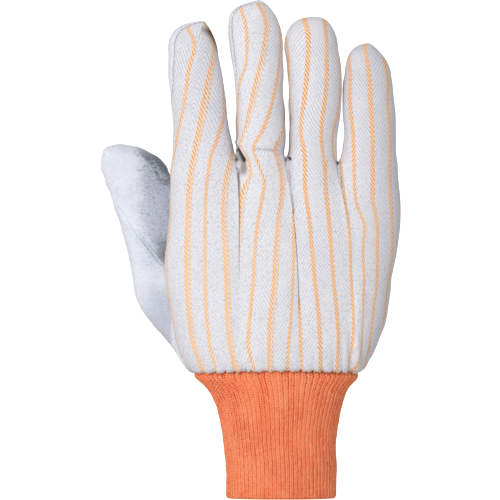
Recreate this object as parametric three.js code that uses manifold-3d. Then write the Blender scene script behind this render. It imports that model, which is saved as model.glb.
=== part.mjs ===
// A right-hand work glove as it is worn: a striped cotton back, a split-leather palm, a
// split-leather thumb and a knitted wrist, each a thin wall round the hollow for the hand.
// Millimetres. +Z runs up along the fingers, +X towards the little finger, and the back of
// the hand faces -Y. The origin is the centre of the wrist opening.
import * as THREE from 'three';
import { mergeVertices } from 'three/addons/utils/BufferGeometryUtils.js';
import Module from 'manifold-3d';

// Driving dimensions
const CLOTH_WALL = 1.4;
const LEATHER_WALL = 1.6;
const KNIT_WALL = 2.0;
const SEAM_GAP = 0.3;        // between the cloth's edge and the leather's
const HEM_Z = 66;            // lower edge of the cloth and the palm leather
const KNIT_TOP_Z = 73;       // the knit runs up inside the hem
const SAME_PLACE = 1e-3;     // points closer than this are one point

// How finely the surfaces are cut
const COLUMNS_PER_HALF = 4;  // from a finger's side seam to its crown
const SHAFT_ROWS = 6;        // from the crotch to the start of the fingertip
const TIP_ROWS = 5;          // from a finger's side to the top of its tip
// Shares of the height from the hem to the crotches, closest where the surface turns most
const HAND_ROWS = [0, 0.03, 0.08, 0.15, 0.25, 0.37, 0.5, 0.62, 0.73, 0.82, 0.89, 0.94, 0.972, 0.99, 1];
const THUMB_ROWS = 13;
const KNIT_SIDES = 56;
const KNIT_ROWS = [0, 1.2, 8, 18, 30, 40, 48, 54, 59, 62, 64.5, 67, KNIT_TOP_Z];

// Section shapes: 2 is an ellipse, more is squarer
const FINGER_SQUARENESS = 2.15;
const BACK_SQUARENESS = 2.3;
const PALM_SQUARENESS = 2.6;
const KNIT_SQUARENESS = 2.2;

// Between two fingers the surface reaches a share of its depth a short length below the
// crotch. All of it has passed from the fingers' sections to the hand's by fade below it.
const WEB = { share: 0.72, length: 13, fade: 75 };
// The two tucks sewn down the back from the crotches beside the middle finger
const TUCK = { depth: 2.2, width: 1.5 };
// Puckers of the cloth and the leather where they are drawn in to the knit
const PUCKER = { depth: 0.5, height: 8 };

// A table is a list of rows with named columns, in order of its first column.
function table(columns, rows) {
  return { columns, rows };
}

// The named columns at x, by a smooth curve through the table's rows.
function at({ columns, rows }, x) {
  const last = rows.length - 1;
  const below = rows.filter((row) => row[0] <= x).length - 1;
  const i = Math.max(0, Math.min(last - 1, below));
  const span = rows[i + 1][0] - rows[i][0];
  const s = Math.max(0, Math.min(1, (x - rows[i][0]) / span));
  const slope = (k, c) => {
    const before = rows[Math.max(0, k - 1)];
    const after = rows[Math.min(last, k + 1)];
    return (after[c] - before[c]) / (after[0] - before[0]);
  };
  const found = {};
  columns.forEach((name, c) => {
    const low = rows[i][c] * (2 * s ** 3 - 3 * s ** 2 + 1);
    const high = rows[i + 1][c] * (3 * s ** 2 - 2 * s ** 3);
    const lean = slope(i, c) * (s ** 3 - 2 * s ** 2 + s) + slope(i + 1, c) * (s ** 3 - s ** 2);
    found[name] = low + high + lean * span;
  });
  return found;
}

const clamp = (x, low, high) => Math.min(high, Math.max(low, x));
const mix = (a, b, share) => a + (b - a) * share;
const smooth = (x) => clamp(x, 0, 1) ** 2 * (3 - 2 * clamp(x, 0, 1));
const radians = THREE.MathUtils.degToRad;
// Cosine and sine, up to a quarter turn each way, bent to a superellipse's squareness
const cosine = (angle, squareness) => Math.max(0, Math.cos(angle)) ** (2 / squareness);
const sine = (angle, squareness) => Math.abs(Math.sin(angle)) ** (2 / squareness);

// The fingers. left and right are the side outlines seen from the back, leftY and rightY the
// depth of the side seams, back and palm how far the crown stands out of them each way.
const SHAFT = ['z', 'left', 'right', 'leftY', 'rightY', 'back', 'palm'];
// How far, in degrees round the finger, the leather wraps over each side towards the back
const WRAP = ['z', 'leftWrap', 'rightWrap'];

const FINGERS = [
  {
    name: 'index',
    shaft: table(SHAFT, [
      [183, -57.9, -23.5, 4, 0.5, 12.6, 13.4],
      [185, -57.8, -24.5, 4, 0.8, 12.6, 13.3],
      [190, -57.6, -25.8, 4.0, 1.6, 12.6, 13.2],
      [201, -57.6, -28.2, 4.3, 2.6, 12.4, 12.8],
      [214, -59.2, -29.3, 5.4, 4.4, 12.0, 12.4],
      [223, -60.2, -30.5, 6.6, 6.0, 11.8, 12.2],
      [231, -60.3, -32.2, 8.0, 7.6, 11.6, 12.0],
      [238, -60.0, -33.8, 9.4, 9.2, 11.4, 11.8],
    ]),
    wrap: table(WRAP, [[183, 0, 0], [205, 3, -2], [212, 16, -5], [220, 32, -8], [229, 36, -8], [238, 40, -8]]),
    tip: { top: 253.9, topX: -40.8, bluntLeft: 2.8, bluntRight: 1.3, topWrap: 24 },
  },
  {
    name: 'middle',
    shaft: table(SHAFT, [
      [182, -23.5, 2.7, 0.5, 0, 13.0, 13.6],
      [184, -24.0, 1.3, 0.3, 0.1, 13.0, 13.5],
      [190, -23.8, 2.0, 0.2, 0.2, 13.0, 13.4],
      [201, -24.0, 2.3, 0.8, 0.8, 12.8, 13.0],
      [215, -24.3, 1.0, 2.4, 2.4, 12.4, 12.6],
      [228, -25.8, 1.1, 4.6, 4.6, 12.2, 12.4],
      [238, -27.3, 0.7, 6.6, 6.6, 12.0, 12.2],
      [246, -28.6, 0.5, 8.4, 8.4, 11.8, 12.0],
    ]),
    wrap: table(WRAP, [[182, 0, 0], [222, 0, -8], [227, 15, -8], [233, 23, -8], [241, 28, -8], [246, 31, -8]]),
    tip: { top: 265, topX: -11, bluntLeft: 2.8, bluntRight: 1.6, topWrap: 12 },
  },
  {
    name: 'ring',
    shaft: table(SHAFT, [
      [180, 2.7, 30.4, 0, 2, 12.8, 13.4],
      [182, 3.9, 30.2, 0.1, 2, 12.8, 13.3],
      [189, 4.2, 29.9, 0.4, 2.2, 12.8, 13.2],
      [200, 4.3, 31.0, 1.2, 2.8, 12.5, 12.8],
      [212, 4.2, 31.9, 2.8, 4.2, 12.1, 12.4],
      [223, 3.8, 32.6, 4.8, 6.0, 11.9, 12.2],
      [234, 3.1, 31.6, 7.2, 8.2, 11.7, 12.0],
      [240, 2.2, 30.5, 8.8, 9.6, 11.5, 11.8],
    ]),
    wrap: table(WRAP, [[180, 0, 0], [195, -6, -6], [215, -8, -8], [240, -8, -8]]),
    tip: { top: 256.9, topX: 19, bluntLeft: 2.6, bluntRight: 2, topWrap: -6 },
  },
  {
    name: 'little',
    shaft: table(SHAFT, [
      [177.5, 30.4, 62.1, 2, 6, 12.2, 12.8],
      [179.5, 31.4, 62.0, 2.1, 6.0, 12.2, 12.7],
      [185, 32.6, 61.3, 2.6, 6.2, 12.0, 12.4],
      [193, 33.4, 61.4, 3.4, 6.8, 11.8, 12.0],
      [204, 33.1, 61.3, 5.2, 8.2, 11.4, 11.6],
      [214, 33.2, 60.6, 7.2, 9.8, 11.1, 11.3],
      [221, 33.6, 60.0, 8.8, 11.2, 10.9, 11.1],
      [227, 34.6, 59.0, 10.4, 12.6, 10.7, 10.9],
    ]),
    wrap: table(WRAP, [[177.5, 0, -12], [195, -6, -10], [215, -8, -8], [227, -8, -8]]),
    tip: { top: 242.7, topX: 46.8, bluntLeft: 2.4, bluntRight: 1.4, topWrap: -6 },
  },
];

// The hand from the hem to the crotches, on a level scale from the hem to 183. tuck1, tuck2
// and valley3 are the lines that run down from the three crotches.
const HAND_TOP_Z = 183;
const HAND = table(
  ['z', 'left', 'right', 'leftY', 'rightY', 'back', 'palm', 'tuck1', 'tuck2', 'valley3'],
  [
    [66, -47.6, 42.2, 0, 0, 24.2, 23.6, -21.6, 10.4, 27.5],
    [70, -51.1, 45.2, 0, 0, 25.2, 24.4, -22.0, 10.3, 29.5],
    [76, -53.9, 48.7, 0, 0, 25.6, 24.8, -22.3, 10.2, 31.5],
    [84, -55.8, 52.6, 0, 0, 25.2, 24.8, -22.4, 10.0, 33.5],
    [94, -57.7, 55.8, 0.2, 0.4, 24.0, 24.0, -22.4, 9.8, 35.5],
    [106, -59.7, 57.7, 0.6, 1.0, 22.6, 22.8, -22.4, 9.5, 36.8],
    [122, -61.3, 59.8, 1.2, 2.0, 21.2, 21.6, -22.4, 8.9, 37.2],
    [140, -60.2, 63.0, 2.0, 3.4, 20.0, 20.4, -22.3, 7.8, 36.6],
    [158, -59.4, 63.8, 2.8, 4.6, 18.6, 19.2, -22.2, 6.2, 34.2],
    [172, -58.9, 62.6, 3.4, 5.4, 17.0, 17.8, -22.6, 4.2, 31.6],
    [183, -57.9, 62.1, 4.0, 6.0, 15.4, 16.2, -23.5, 2.7, 30.4],
  ],
);
// Where each tuck starts to show above the hem and where it is deepest
const TUCKS = [
  { line: 'tuck1', fadesAt: 70, fullAt: 150 },
  { line: 'tuck2', fadesAt: 60, fullAt: 90 },
];
// The fold that the little finger's side falls into above the hem
const FOLD = { x: 38.4, depth: 1.5, width: 2.8, lowZ: 66, highZ: 112 };
// Height of the crotches and of the hand's two sides, across the glove
const CROTCHES = table(['x', 'z'], [[-57.9, 183.5], [-23.5, 182.9], [2.7, 180.8], [30.4, 179.2], [62.1, 176.5]]);

// The thumb, from inside the heel of the hand to the start of its tip
const THUMB = {
  name: 'thumb',
  shaft: table(SHAFT, [
    [72, -49, -22, 7, 9, 6, 9],
    [80, -57.2, -24, 7.5, 11, 8, 10.5],
    [88, -64.6, -27, 8.5, 13, 9.5, 11.5],
    [97, -71.9, -31, 10, 15, 11, 12.5],
    [108, -77.8, -36, 12, 18, 12, 13.5],
    [120, -79.5, -41, 14, 21, 12.2, 13.5],
    [131, -81.9, -45, 15.5, 23.5, 12.0, 13],
    [142, -84.7, -48, 16.5, 25.5, 11.8, 12.5],
    [154, -88.2, -50.5, 17, 27, 11.6, 12],
    [165, -92.4, -54.5, 17, 28, 11.4, 11.6],
    [175, -96.0, -60.2, 17, 28, 11.0, 11.2],
  ]),
  wrap: table(WRAP, [[72, 0, 0], [175, 0, 0]]),
  tip: { top: 188.4, topX: -84.7, bluntLeft: 3.5, bluntRight: 1.8, topWrap: 0 },
};
// The seam between the thumb and the palm leather is cut along this line, seen from the back
const THUMB_SEAM = table(['x', 'z'], [
  [-112, 196],
  [-87.6, 156.8],
  [-78.4, 142.9],
  [-69.9, 133.3],
  [-60.9, 123.3],
  [-20, 77.5],
  [60, -12],
]);

// The knit, from its lower edge up into the hem
const KNIT = table(
  ['z', 'left', 'right', 'back', 'palm'],
  [
    [0, -29.7, 29.7, 20.5, 20.5],
    [16, -29.7, 29.7, 20.5, 20.5],
    [31, -31.0, 29.4, 20.5, 20.5],
    [44, -33.1, 31.4, 21.0, 20.8],
    [53, -36.1, 33.7, 21.5, 21.2],
    [59, -39.8, 36.3, 21.9, 21.5],
    [64.5, -45.8, 40.9, 21.7, 21.3],
    [67, -45.3, 40.2, 21.3, 20.9],
    [73, -45.3, 40.2, 20.9, 20.5],
  ],
);

// How far the surface has passed from the fingers' sections to the hand's, a distance below
// the crotches: steeply below a crotch, and gently down the crown of a finger.
function webShare(below, angle) {
  const gentle = smooth(below / WEB.fade);
  const steep = Math.sqrt(1 - (1 - clamp(below / WEB.length, 0, 1)) ** 2);
  const edge = WEB.share * steep + (1 - WEB.share) * gentle;
  return mix(gentle, edge, Math.cos(angle) ** 2);
}

const crotchZ = (x) => at(CROTCHES, x).z;
const wrapAt = (limb, side, z) => radians(at(limb.wrap, z)[side < 0 ? 'leftWrap' : 'rightWrap']);
const firstOf = (limb) => limb.shaft.rows[0][0];
const lastOf = (limb) => limb.shaft.rows[limb.shaft.rows.length - 1][0];

// The angles of a half strip's columns, from the seam to the crown of the back or the palm.
function spread(seam, back) {
  const crown = back ? Math.PI / 2 : -Math.PI / 2;
  return Array.from({ length: COLUMNS_PER_HALF + 1 }, (_, j) => mix(seam, crown, j / COLUMNS_PER_HALF));
}

// A point of a limb. The angle is 0 at its side, a quarter turn at the crown of its back and
// minus a quarter turn at the crown of its palm side. edge is the side, heart the middle.
function limbPoint(section, edge, heart, angle) {
  const across = cosine(angle, FINGER_SQUARENESS);
  const x = mix(heart.x, edge.x, across);
  const share = clamp((x - section.left) / (section.right - section.left), 0, 1);
  const level = mix(section.leftY, section.rightY, share);
  const depth = (angle > 0 ? -section.back : section.palm) * sine(angle, FINGER_SQUARENESS);
  return new THREE.Vector3(x, level + depth, mix(heart.z, edge.z, across));
}

// The points of a limb's half at a level of its shaft.
function shaftPoints(limb, side, level, angles) {
  const section = at(limb.shaft, level);
  const edge = { x: side < 0 ? section.left : section.right, z: level };
  const heart = { x: (section.left + section.right) / 2, z: level };
  return angles.map((angle) => limbPoint(section, edge, heart, angle));
}

// The points of a limb's half from its tip's outline, turn round from the side, to the heart.
function tipPoints(limb, side, turn, angles) {
  const start = lastOf(limb);
  const section = at(limb.shaft, start);
  const { top, topX, bluntLeft, bluntRight } = limb.tip;
  const blunt = side < 0 ? bluntLeft : bluntRight;
  const sideX = side < 0 ? section.left : section.right;
  const edge = {
    x: mix(topX, sideX, cosine(turn, blunt)),
    z: mix(start, top, sine(turn, blunt)),
  };
  const heart = { x: (section.left + section.right) / 2, z: start };
  return angles.map((angle) => limbPoint(section, edge, heart, angle));
}

// How far the tucks and the fold pull the cloth in at x, on this level.
function tuckDepth(section, level, x) {
  const groove = (middle, width) => Math.exp(-(((x - middle) / width) ** 2));
  const tucks = TUCKS.map(({ line, fadesAt, fullAt }) =>
    TUCK.depth * smooth((level - fadesAt) / (fullAt - fadesAt)) * groove(section[line], TUCK.width));
  const shown = smooth((FOLD.highZ - level) / (FOLD.highZ - FOLD.lowZ));
  return Math.max(...tucks, FOLD.depth * shown * groove(FOLD.x, FOLD.width));
}

// A point of the hand on finger k's strip, share of the way up from the hem to the crotches.
// It passes from the section of the finger to the arch of the hand going down.
function handPoint(k, side, share, angle, back, outer) {
  const level = mix(HEM_Z, HAND_TOP_Z, share);
  const section = at(HAND, level);
  const lines = [section.left, section.tuck1, section.tuck2, section.valley3, section.right];
  const [left, right] = [lines[k], lines[k + 1]];
  const x = mix((left + right) / 2, side < 0 ? left : right, cosine(angle, FINGER_SQUARENESS));
  const z = mix(HEM_Z, crotchZ(x), share);
  const web = outer ? smooth((crotchZ(x) - z) / WEB.fade) : webShare(crotchZ(x) - z, angle);

  const finger = at(FINGERS[k].shaft, firstOf(FINGERS[k]));
  const fingerLevel = mix(finger.leftY, finger.rightY, (x - left) / (right - left));
  const fingerDepth = (back ? finger.back : finger.palm) * sine(angle, FINGER_SQUARENESS);

  const across = (x - section.left) / (section.right - section.left);
  const squareness = back ? BACK_SQUARENESS : PALM_SQUARENESS;
  const arch = (1 - Math.abs(2 * across - 1) ** squareness) ** (1 / squareness);
  const handLevel = mix(section.leftY, section.rightY, across);
  const handDepth = (back ? section.back : section.palm) * arch;

  const tuck = back ? tuckDepth(section, level, x) * web * arch : 0;
  const depth = mix(fingerDepth, handDepth, web) - tuck;
  return new THREE.Vector3(x, mix(fingerLevel, handLevel, web) + (back ? -depth : depth), z);
}

// One half of finger k's strip, on the back or the palm, from the hem to the top of its tip.
// The first point of every sewn row lies on the seam between the cloth and the leather.
function stripPatch(k, side, back) {
  const limb = FINGERS[k];
  const outer = side < 0 ? k === 0 : k === FINGERS.length - 1;
  const [start, end] = [firstOf(limb), lastOf(limb)];
  const rows = [];
  HAND_ROWS.forEach((share) => {
    const seam = outer ? wrapAt(limb, side, start) * smooth(2 * share - 1) : 0;
    const points = spread(seam, back).map((angle, j) => {
      const onBack = angle === 0 ? back : angle > 0;
      const point = handPoint(k, side, share, angle, onBack, outer);
      const shown = outer ? Math.sin(angle) ** 2 : 1;
      const drawn = PUCKER.depth * shown * Math.exp(-(point.z - HEM_Z) / PUCKER.height);
      point.y += (j % 2 === 0) === back ? drawn : -drawn;
      return point;
    });
    rows.push({ points, sewn: outer || share === 1, crotch: !outer && share === 1 });
  });
  for (let i = 1; i <= SHAFT_ROWS; i++) {
    const share = (i / SHAFT_ROWS) ** 1.7;
    const level = mix(start, end, share);
    const points = shaftPoints(limb, side, level, spread(wrapAt(limb, side, level), back));
    points.forEach((point) => {
      point.z += (crotchZ(point.x) - start) * (1 - share);
    });
    rows.push({ points, sewn: true });
  }
  for (let i = 1; i <= TIP_ROWS; i++) {
    const turn = Math.PI / 2 * i / TIP_ROWS;
    const seam = mix(wrapAt(limb, side, end), radians(limb.tip.topWrap), smooth(i / TIP_ROWS));
    rows.push({ points: tipPoints(limb, side, turn, spread(seam, back)), sewn: true });
  }
  return { rows, flip: (side > 0) === back };
}

// All the strips of the back, or of the palm.
const handHalf = (back) => FINGERS.flatMap((_, k) => [-1, 1].map((side) => stripPatch(k, side, back)));

// The thumb as four patches: left and right, back and palm side.
function thumbPatches() {
  const turns = Array.from({ length: TIP_ROWS }, (_, i) => Math.PI / 2 * (i + 1) / TIP_ROWS);
  const levels = Array.from({ length: THUMB_ROWS + 1 }, (_, i) =>
    mix(firstOf(THUMB), lastOf(THUMB), i / THUMB_ROWS));
  return [-1, 1].flatMap((side) => [true, false].map((back) => {
    const angles = spread(0, back);
    const shaft = levels.map((level) => ({ points: shaftPoints(THUMB, side, level, angles) }));
    const tip = turns.map((turn) => ({ points: tipPoints(THUMB, side, turn, angles) }));
    return { rows: [...shaft, ...tip], flip: (side > 0) === back };
  }));
}

// The knit as one patch that closes round on itself.
function knitPatch() {
  const middle = ({ left, right }) => (left + right) / 2;
  const rows = KNIT_ROWS.map((z) => {
    const section = at(KNIT, z);
    const points = Array.from({ length: KNIT_SIDES + 1 }, (_, i) => {
      const turn = 2 * Math.PI * (i % KNIT_SIDES) / KNIT_SIDES;
      const across = Math.sign(Math.cos(turn)) * Math.abs(Math.cos(turn)) ** (2 / KNIT_SQUARENESS);
      const out = Math.sign(Math.sin(turn)) * sine(turn, KNIT_SQUARENESS);
      const depth = out > 0 ? section.palm : section.back;
      return new THREE.Vector3(
        middle(section) + across * (section.right - section.left) / 2,
        out * depth,
        z,
      );
    });
    return { points };
  });
  return { rows, flip: false };
}

// One surface from patches of points, each point with its partner beside it in the wall.
function weld(patches, partner) {
  const [places, partners] = [[], []];
  for (const { rows, flip } of patches) {
    for (let i = 0; i + 1 < rows.length; i++) {
      const [low, high] = [rows[i], rows[i + 1]];
      for (let j = 0; j + 1 < low.points.length; j++) {
        const corners = [[low, j], [low, j + 1], [high, j + 1], [high, j]].map(([row, column]) => {
          const place = row.points[column];
          return { place, beside: partner ? partner(place) : place };
        });
        const [a, b, c, d] = corners;
        for (const triangle of [[a, b, c], [a, c, d]]) {
          if (flip) triangle.reverse();
          for (const { place, beside } of triangle) {
            places.push(place.x, place.y, place.z);
            partners.push(beside.x, beside.y, beside.z);
          }
        }
      }
    }
  }
  const loose = new THREE.BufferGeometry()
    .setAttribute('position', new THREE.Float32BufferAttribute(places, 3))
    .setAttribute('partner', new THREE.Float32BufferAttribute(partners, 3));
  const welded = mergeVertices(loose, SAME_PLACE);
  const index = [...welded.index.array];
  const kept = [];
  for (let t = 0; t < index.length; t += 3) {
    const [a, b, c] = index.slice(t, t + 3);
    if (a !== b && b !== c && a !== c) kept.push(a, b, c);
  }
  welded.setIndex(kept);
  return welded;
}

// The outward direction at any point of a surface made of these patches.
function outwardOf(patches) {
  const key = (x, y, z) => [x, y, z].map((c) => Math.round(c / SAME_PLACE)).join();
  const surface = weld(patches);
  surface.computeVertexNormals();
  const { position, normal } = surface.attributes;
  const found = new Map();
  for (let v = 0; v < position.count; v++) {
    found.set(
      key(position.getX(v), position.getY(v), position.getZ(v)),
      new THREE.Vector3(normal.getX(v), normal.getY(v), normal.getZ(v)),
    );
  }
  return (point) => found.get(key(Math.fround(point.x), Math.fround(point.y), Math.fround(point.z)));
}

// The edges that only one triangle has: a surface's rim.
function rimEdges(index) {
  const seen = new Map();
  for (let t = 0; t < index.length; t += 3) {
    for (let e = 0; e < 3; e++) {
      const [a, b] = [index[t + e], index[t + (e + 1) % 3]];
      seen.set(`${a},${b}`, [a, b]);
    }
  }
  return [...seen.values()].filter(([a, b]) => !seen.has(`${b},${a}`));
}

// A closed wall between a surface and the same surface a wall's thickness further in. Where a
// row is sewn, its edge is held back from the seam by hold.
function wallOf(patches, outward, wall, hold = 0) {
  const inside = new Map();
  const held = patches.map(({ rows, flip }) => ({
    flip,
    rows: rows.map(({ points, sewn, crotch }) => ({
      points: points.map((point, j) => {
        const place = point.clone();
        if (j === 0 && sewn && hold > 0) {
          const away = crotch ? new THREE.Vector3(0, 1, 0) : points[1].clone().sub(point);
          place.add(away.setLength(hold));
        }
        inside.set(place, place.clone().addScaledVector(outward(point), -wall));
        return place;
      }),
    })),
  }));
  const surface = weld(held, (place) => inside.get(place));
  const { position, partner } = surface.attributes;
  const index = [...surface.index.array];
  const all = [...index];
  for (let t = 0; t < index.length; t += 3) {
    all.push(...[index[t + 2], index[t + 1], index[t]].map((v) => v + position.count));
  }
  for (const [a, b] of rimEdges(index)) {
    all.push(b, a, a + position.count, b, a + position.count, b + position.count);
  }
  return new THREE.BufferGeometry()
    .setAttribute('position', new THREE.Float32BufferAttribute([...position.array, ...partner.array], 3))
    .setIndex(all);
}

// The solid inside a surface moved out by distance, with a flat fan across its open end.
function solidOf(patches, outward, distance) {
  const surface = weld(patches, (point) => point.clone().addScaledVector(outward(point), distance));
  const points = [...surface.attributes.partner.array];
  const index = [...surface.index.array];
  const rim = rimEdges(index);
  const hub = new THREE.Vector3();
  rim.forEach(([a]) => hub.add(new THREE.Vector3().fromArray(points, a * 3)));
  hub.divideScalar(rim.length);
  for (const [a, b] of rim) index.push(b, a, points.length / 3);
  return new THREE.BufferGeometry()
    .setAttribute('position', new THREE.Float32BufferAttribute([...points, hub.x, hub.y, hub.z], 3))
    .setIndex(index);
}

const wasm = await Module();
wasm.setup();

// A closed geometry as a solid that can be joined and cut, and back.
function toManifold(geometry) {
  return new wasm.Manifold(new wasm.Mesh({
    numProp: 3,
    vertProperties: new Float32Array(geometry.attributes.position.array),
    triVerts: new Uint32Array(geometry.index.array),
  }));
}

function toGeometry(solid) {
  const mesh = solid.getMesh();
  return new THREE.BufferGeometry()
    .setAttribute('position', new THREE.Float32BufferAttribute([...mesh.vertProperties], 3))
    .setIndex([...mesh.triVerts]);
}

// A block that holds everything more than rise above the thumb's seam.
function aboveThumbSeam(rise) {
  const reach = 150;
  const seam = THUMB_SEAM.rows.map(([x, z]) => new THREE.Vector2(x, z + rise));
  const [first, last] = [seam[0], seam[seam.length - 1]];
  const top = [last, first].map(({ x }) => new THREE.Vector2(x, first.y + reach));
  const block = new THREE.ExtrudeGeometry(
    new THREE.Shape([...seam, ...top]),
    { depth: 2 * reach, bevelEnabled: false },
  );
  block.rotateX(Math.PI / 2);
  block.translate(0, reach, 0);
  block.deleteAttribute('normal');
  block.deleteAttribute('uv');
  return toManifold(mergeVertices(block));
}

const backHalf = handHalf(true);
const palmHalf = handHalf(false);
const hand = [...backHalf, ...palmHalf];
const handOutward = outwardOf(hand);
const thumb = thumbPatches();
const thumbOutward = outwardOf(thumb);
const knit = [knitPatch()];

const cloth = wallOf(backHalf, handOutward, CLOTH_WALL);
const thumbInside = toManifold(solidOf(thumb, thumbOutward, -LEATHER_WALL));
const thumbWall = toManifold(solidOf(thumb, thumbOutward, 0)).subtract(thumbInside);

// The thumb's root below its seam is one piece with the palm, and the hand opens into it
const root = thumbWall
  .subtract(toManifold(solidOf(hand, handOutward, -LEATHER_WALL / 2)))
  .subtract(aboveThumbSeam(0));
const palmLeather = toManifold(wallOf(palmHalf, handOutward, LEATHER_WALL, SEAM_GAP))
  .subtract(thumbInside)
  .add(root);
const thumbLeather = thumbWall
  .intersect(aboveThumbSeam(SEAM_GAP))
  .subtract(toManifold(solidOf(hand, handOutward, SEAM_GAP)));

const finish = (color, roughness) => new THREE.MeshStandardMaterial({ color, roughness, metalness: 0 });
const cotton = finish('#e4e3e6', 0.95);
const splitLeather = finish('#c9cdd8', 0.9);
const orangeKnit = finish('#ee7341', 0.95);

function piece(name, geometry, material) {
  const made = new THREE.Mesh(geometry, material);
  made.name = name;
  return made;
}

const glove = new THREE.Group();
glove.add(
  piece('back_cloth', cloth, cotton),
  piece('palm_leather', toGeometry(palmLeather), splitLeather),
  piece('thumb_leather', toGeometry(thumbLeather), splitLeather),
  piece('knit_wrist', wallOf(knit, outwardOf(knit), KNIT_WALL), orangeKnit),
);

export default glove;
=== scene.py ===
"""The looks of a right-hand work glove, worn and held up by its wrist: a striped cotton back,
a split-leather palm and thumb, and a rib-knit wrist.

The tables below are in millimetres, in the part's own frame: +Z runs up along the fingers,
+X towards the little finger, and the back of the hand faces -Y.
"""
import math

import bpy
import numpy as np
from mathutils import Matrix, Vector
from mathutils.bvhtree import BVHTree


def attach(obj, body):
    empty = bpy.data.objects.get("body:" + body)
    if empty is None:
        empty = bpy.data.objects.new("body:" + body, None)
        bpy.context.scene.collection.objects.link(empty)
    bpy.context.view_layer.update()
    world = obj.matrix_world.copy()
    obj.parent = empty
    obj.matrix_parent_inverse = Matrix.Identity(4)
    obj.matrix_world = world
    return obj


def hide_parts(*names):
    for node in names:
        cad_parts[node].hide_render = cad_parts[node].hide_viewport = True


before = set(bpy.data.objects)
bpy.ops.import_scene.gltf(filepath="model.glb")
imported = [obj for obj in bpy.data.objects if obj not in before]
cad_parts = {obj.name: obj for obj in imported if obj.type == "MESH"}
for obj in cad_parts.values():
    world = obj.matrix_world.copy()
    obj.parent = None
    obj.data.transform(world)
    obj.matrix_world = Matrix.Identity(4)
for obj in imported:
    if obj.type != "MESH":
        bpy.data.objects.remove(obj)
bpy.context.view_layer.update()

MM = 0.001
CLOTH_WALL = 1.4
LEATHER_WALL = 1.6
KNIT_WALL = 2.0
HEM_Z = 66.0
KNIT_TOP_Z = 73.0
SAME_PLACE = 1e-3

# How finely the surfaces are cut
HALF_COLUMNS = 26            # from a strip's side to its crown
COLUMNS = 2 * HALF_COLUMNS + 1
HAND_ROWS = 124
SHAFT_ROWS = 60
TIP_ROWS = 26
SHAFT_START = HAND_ROWS + 1
TIP_START = SHAFT_START + SHAFT_ROWS
TIP_TURNS = np.linspace(0, math.pi / 2, TIP_ROWS + 1)[1:]
THUMB_COLUMNS = 112
ROOT_ROWS = 64
THUMB_ROWS = 72
RIBS = 72
RIB_COLUMNS = 10
KNIT_ROWS = 68

# How the rows crowd together towards the crotches, above them, and beside the thumb's seam
HAND_CROWDING = 1.25         # 1 is evenly spaced
SHAFT_CROWDING = 1.35
ROOT_CROWDING = 1.6
THUMB_CROWDING = 1.5

# Section shapes: 2 is an ellipse, more is squarer
FINGER_SQUARENESS = 2.15
BACK_SQUARENESS = 2.3
PALM_SQUARENESS = 2.6
KNIT_SQUARENESS = 2.2

WEB_SHARE = 0.8              # of the hand's depth, reached WEB_LENGTH below a crotch
WEB_LENGTH = 13.0
WEB_FADE = 75.0

STRIPE_PITCH = 10.4          # of the stripes woven in the cloth


def table(columns, rows):
    """Rows of numbers with named columns, in order of the first column."""
    return columns.split(), np.array(rows, float)


def course(rows):
    """A stripe's course up the back: x at a z."""
    return table("z x", rows)


# The fingers. left and right are the side outlines seen from the back, leftY and rightY the
# depth of the side seams, back and palm how far the crown stands out of them each way.
SHAFT = "z left right leftY rightY back palm"
# How far, in degrees round the finger, the leather wraps over each side towards the back
WRAP = "z left right"

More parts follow.
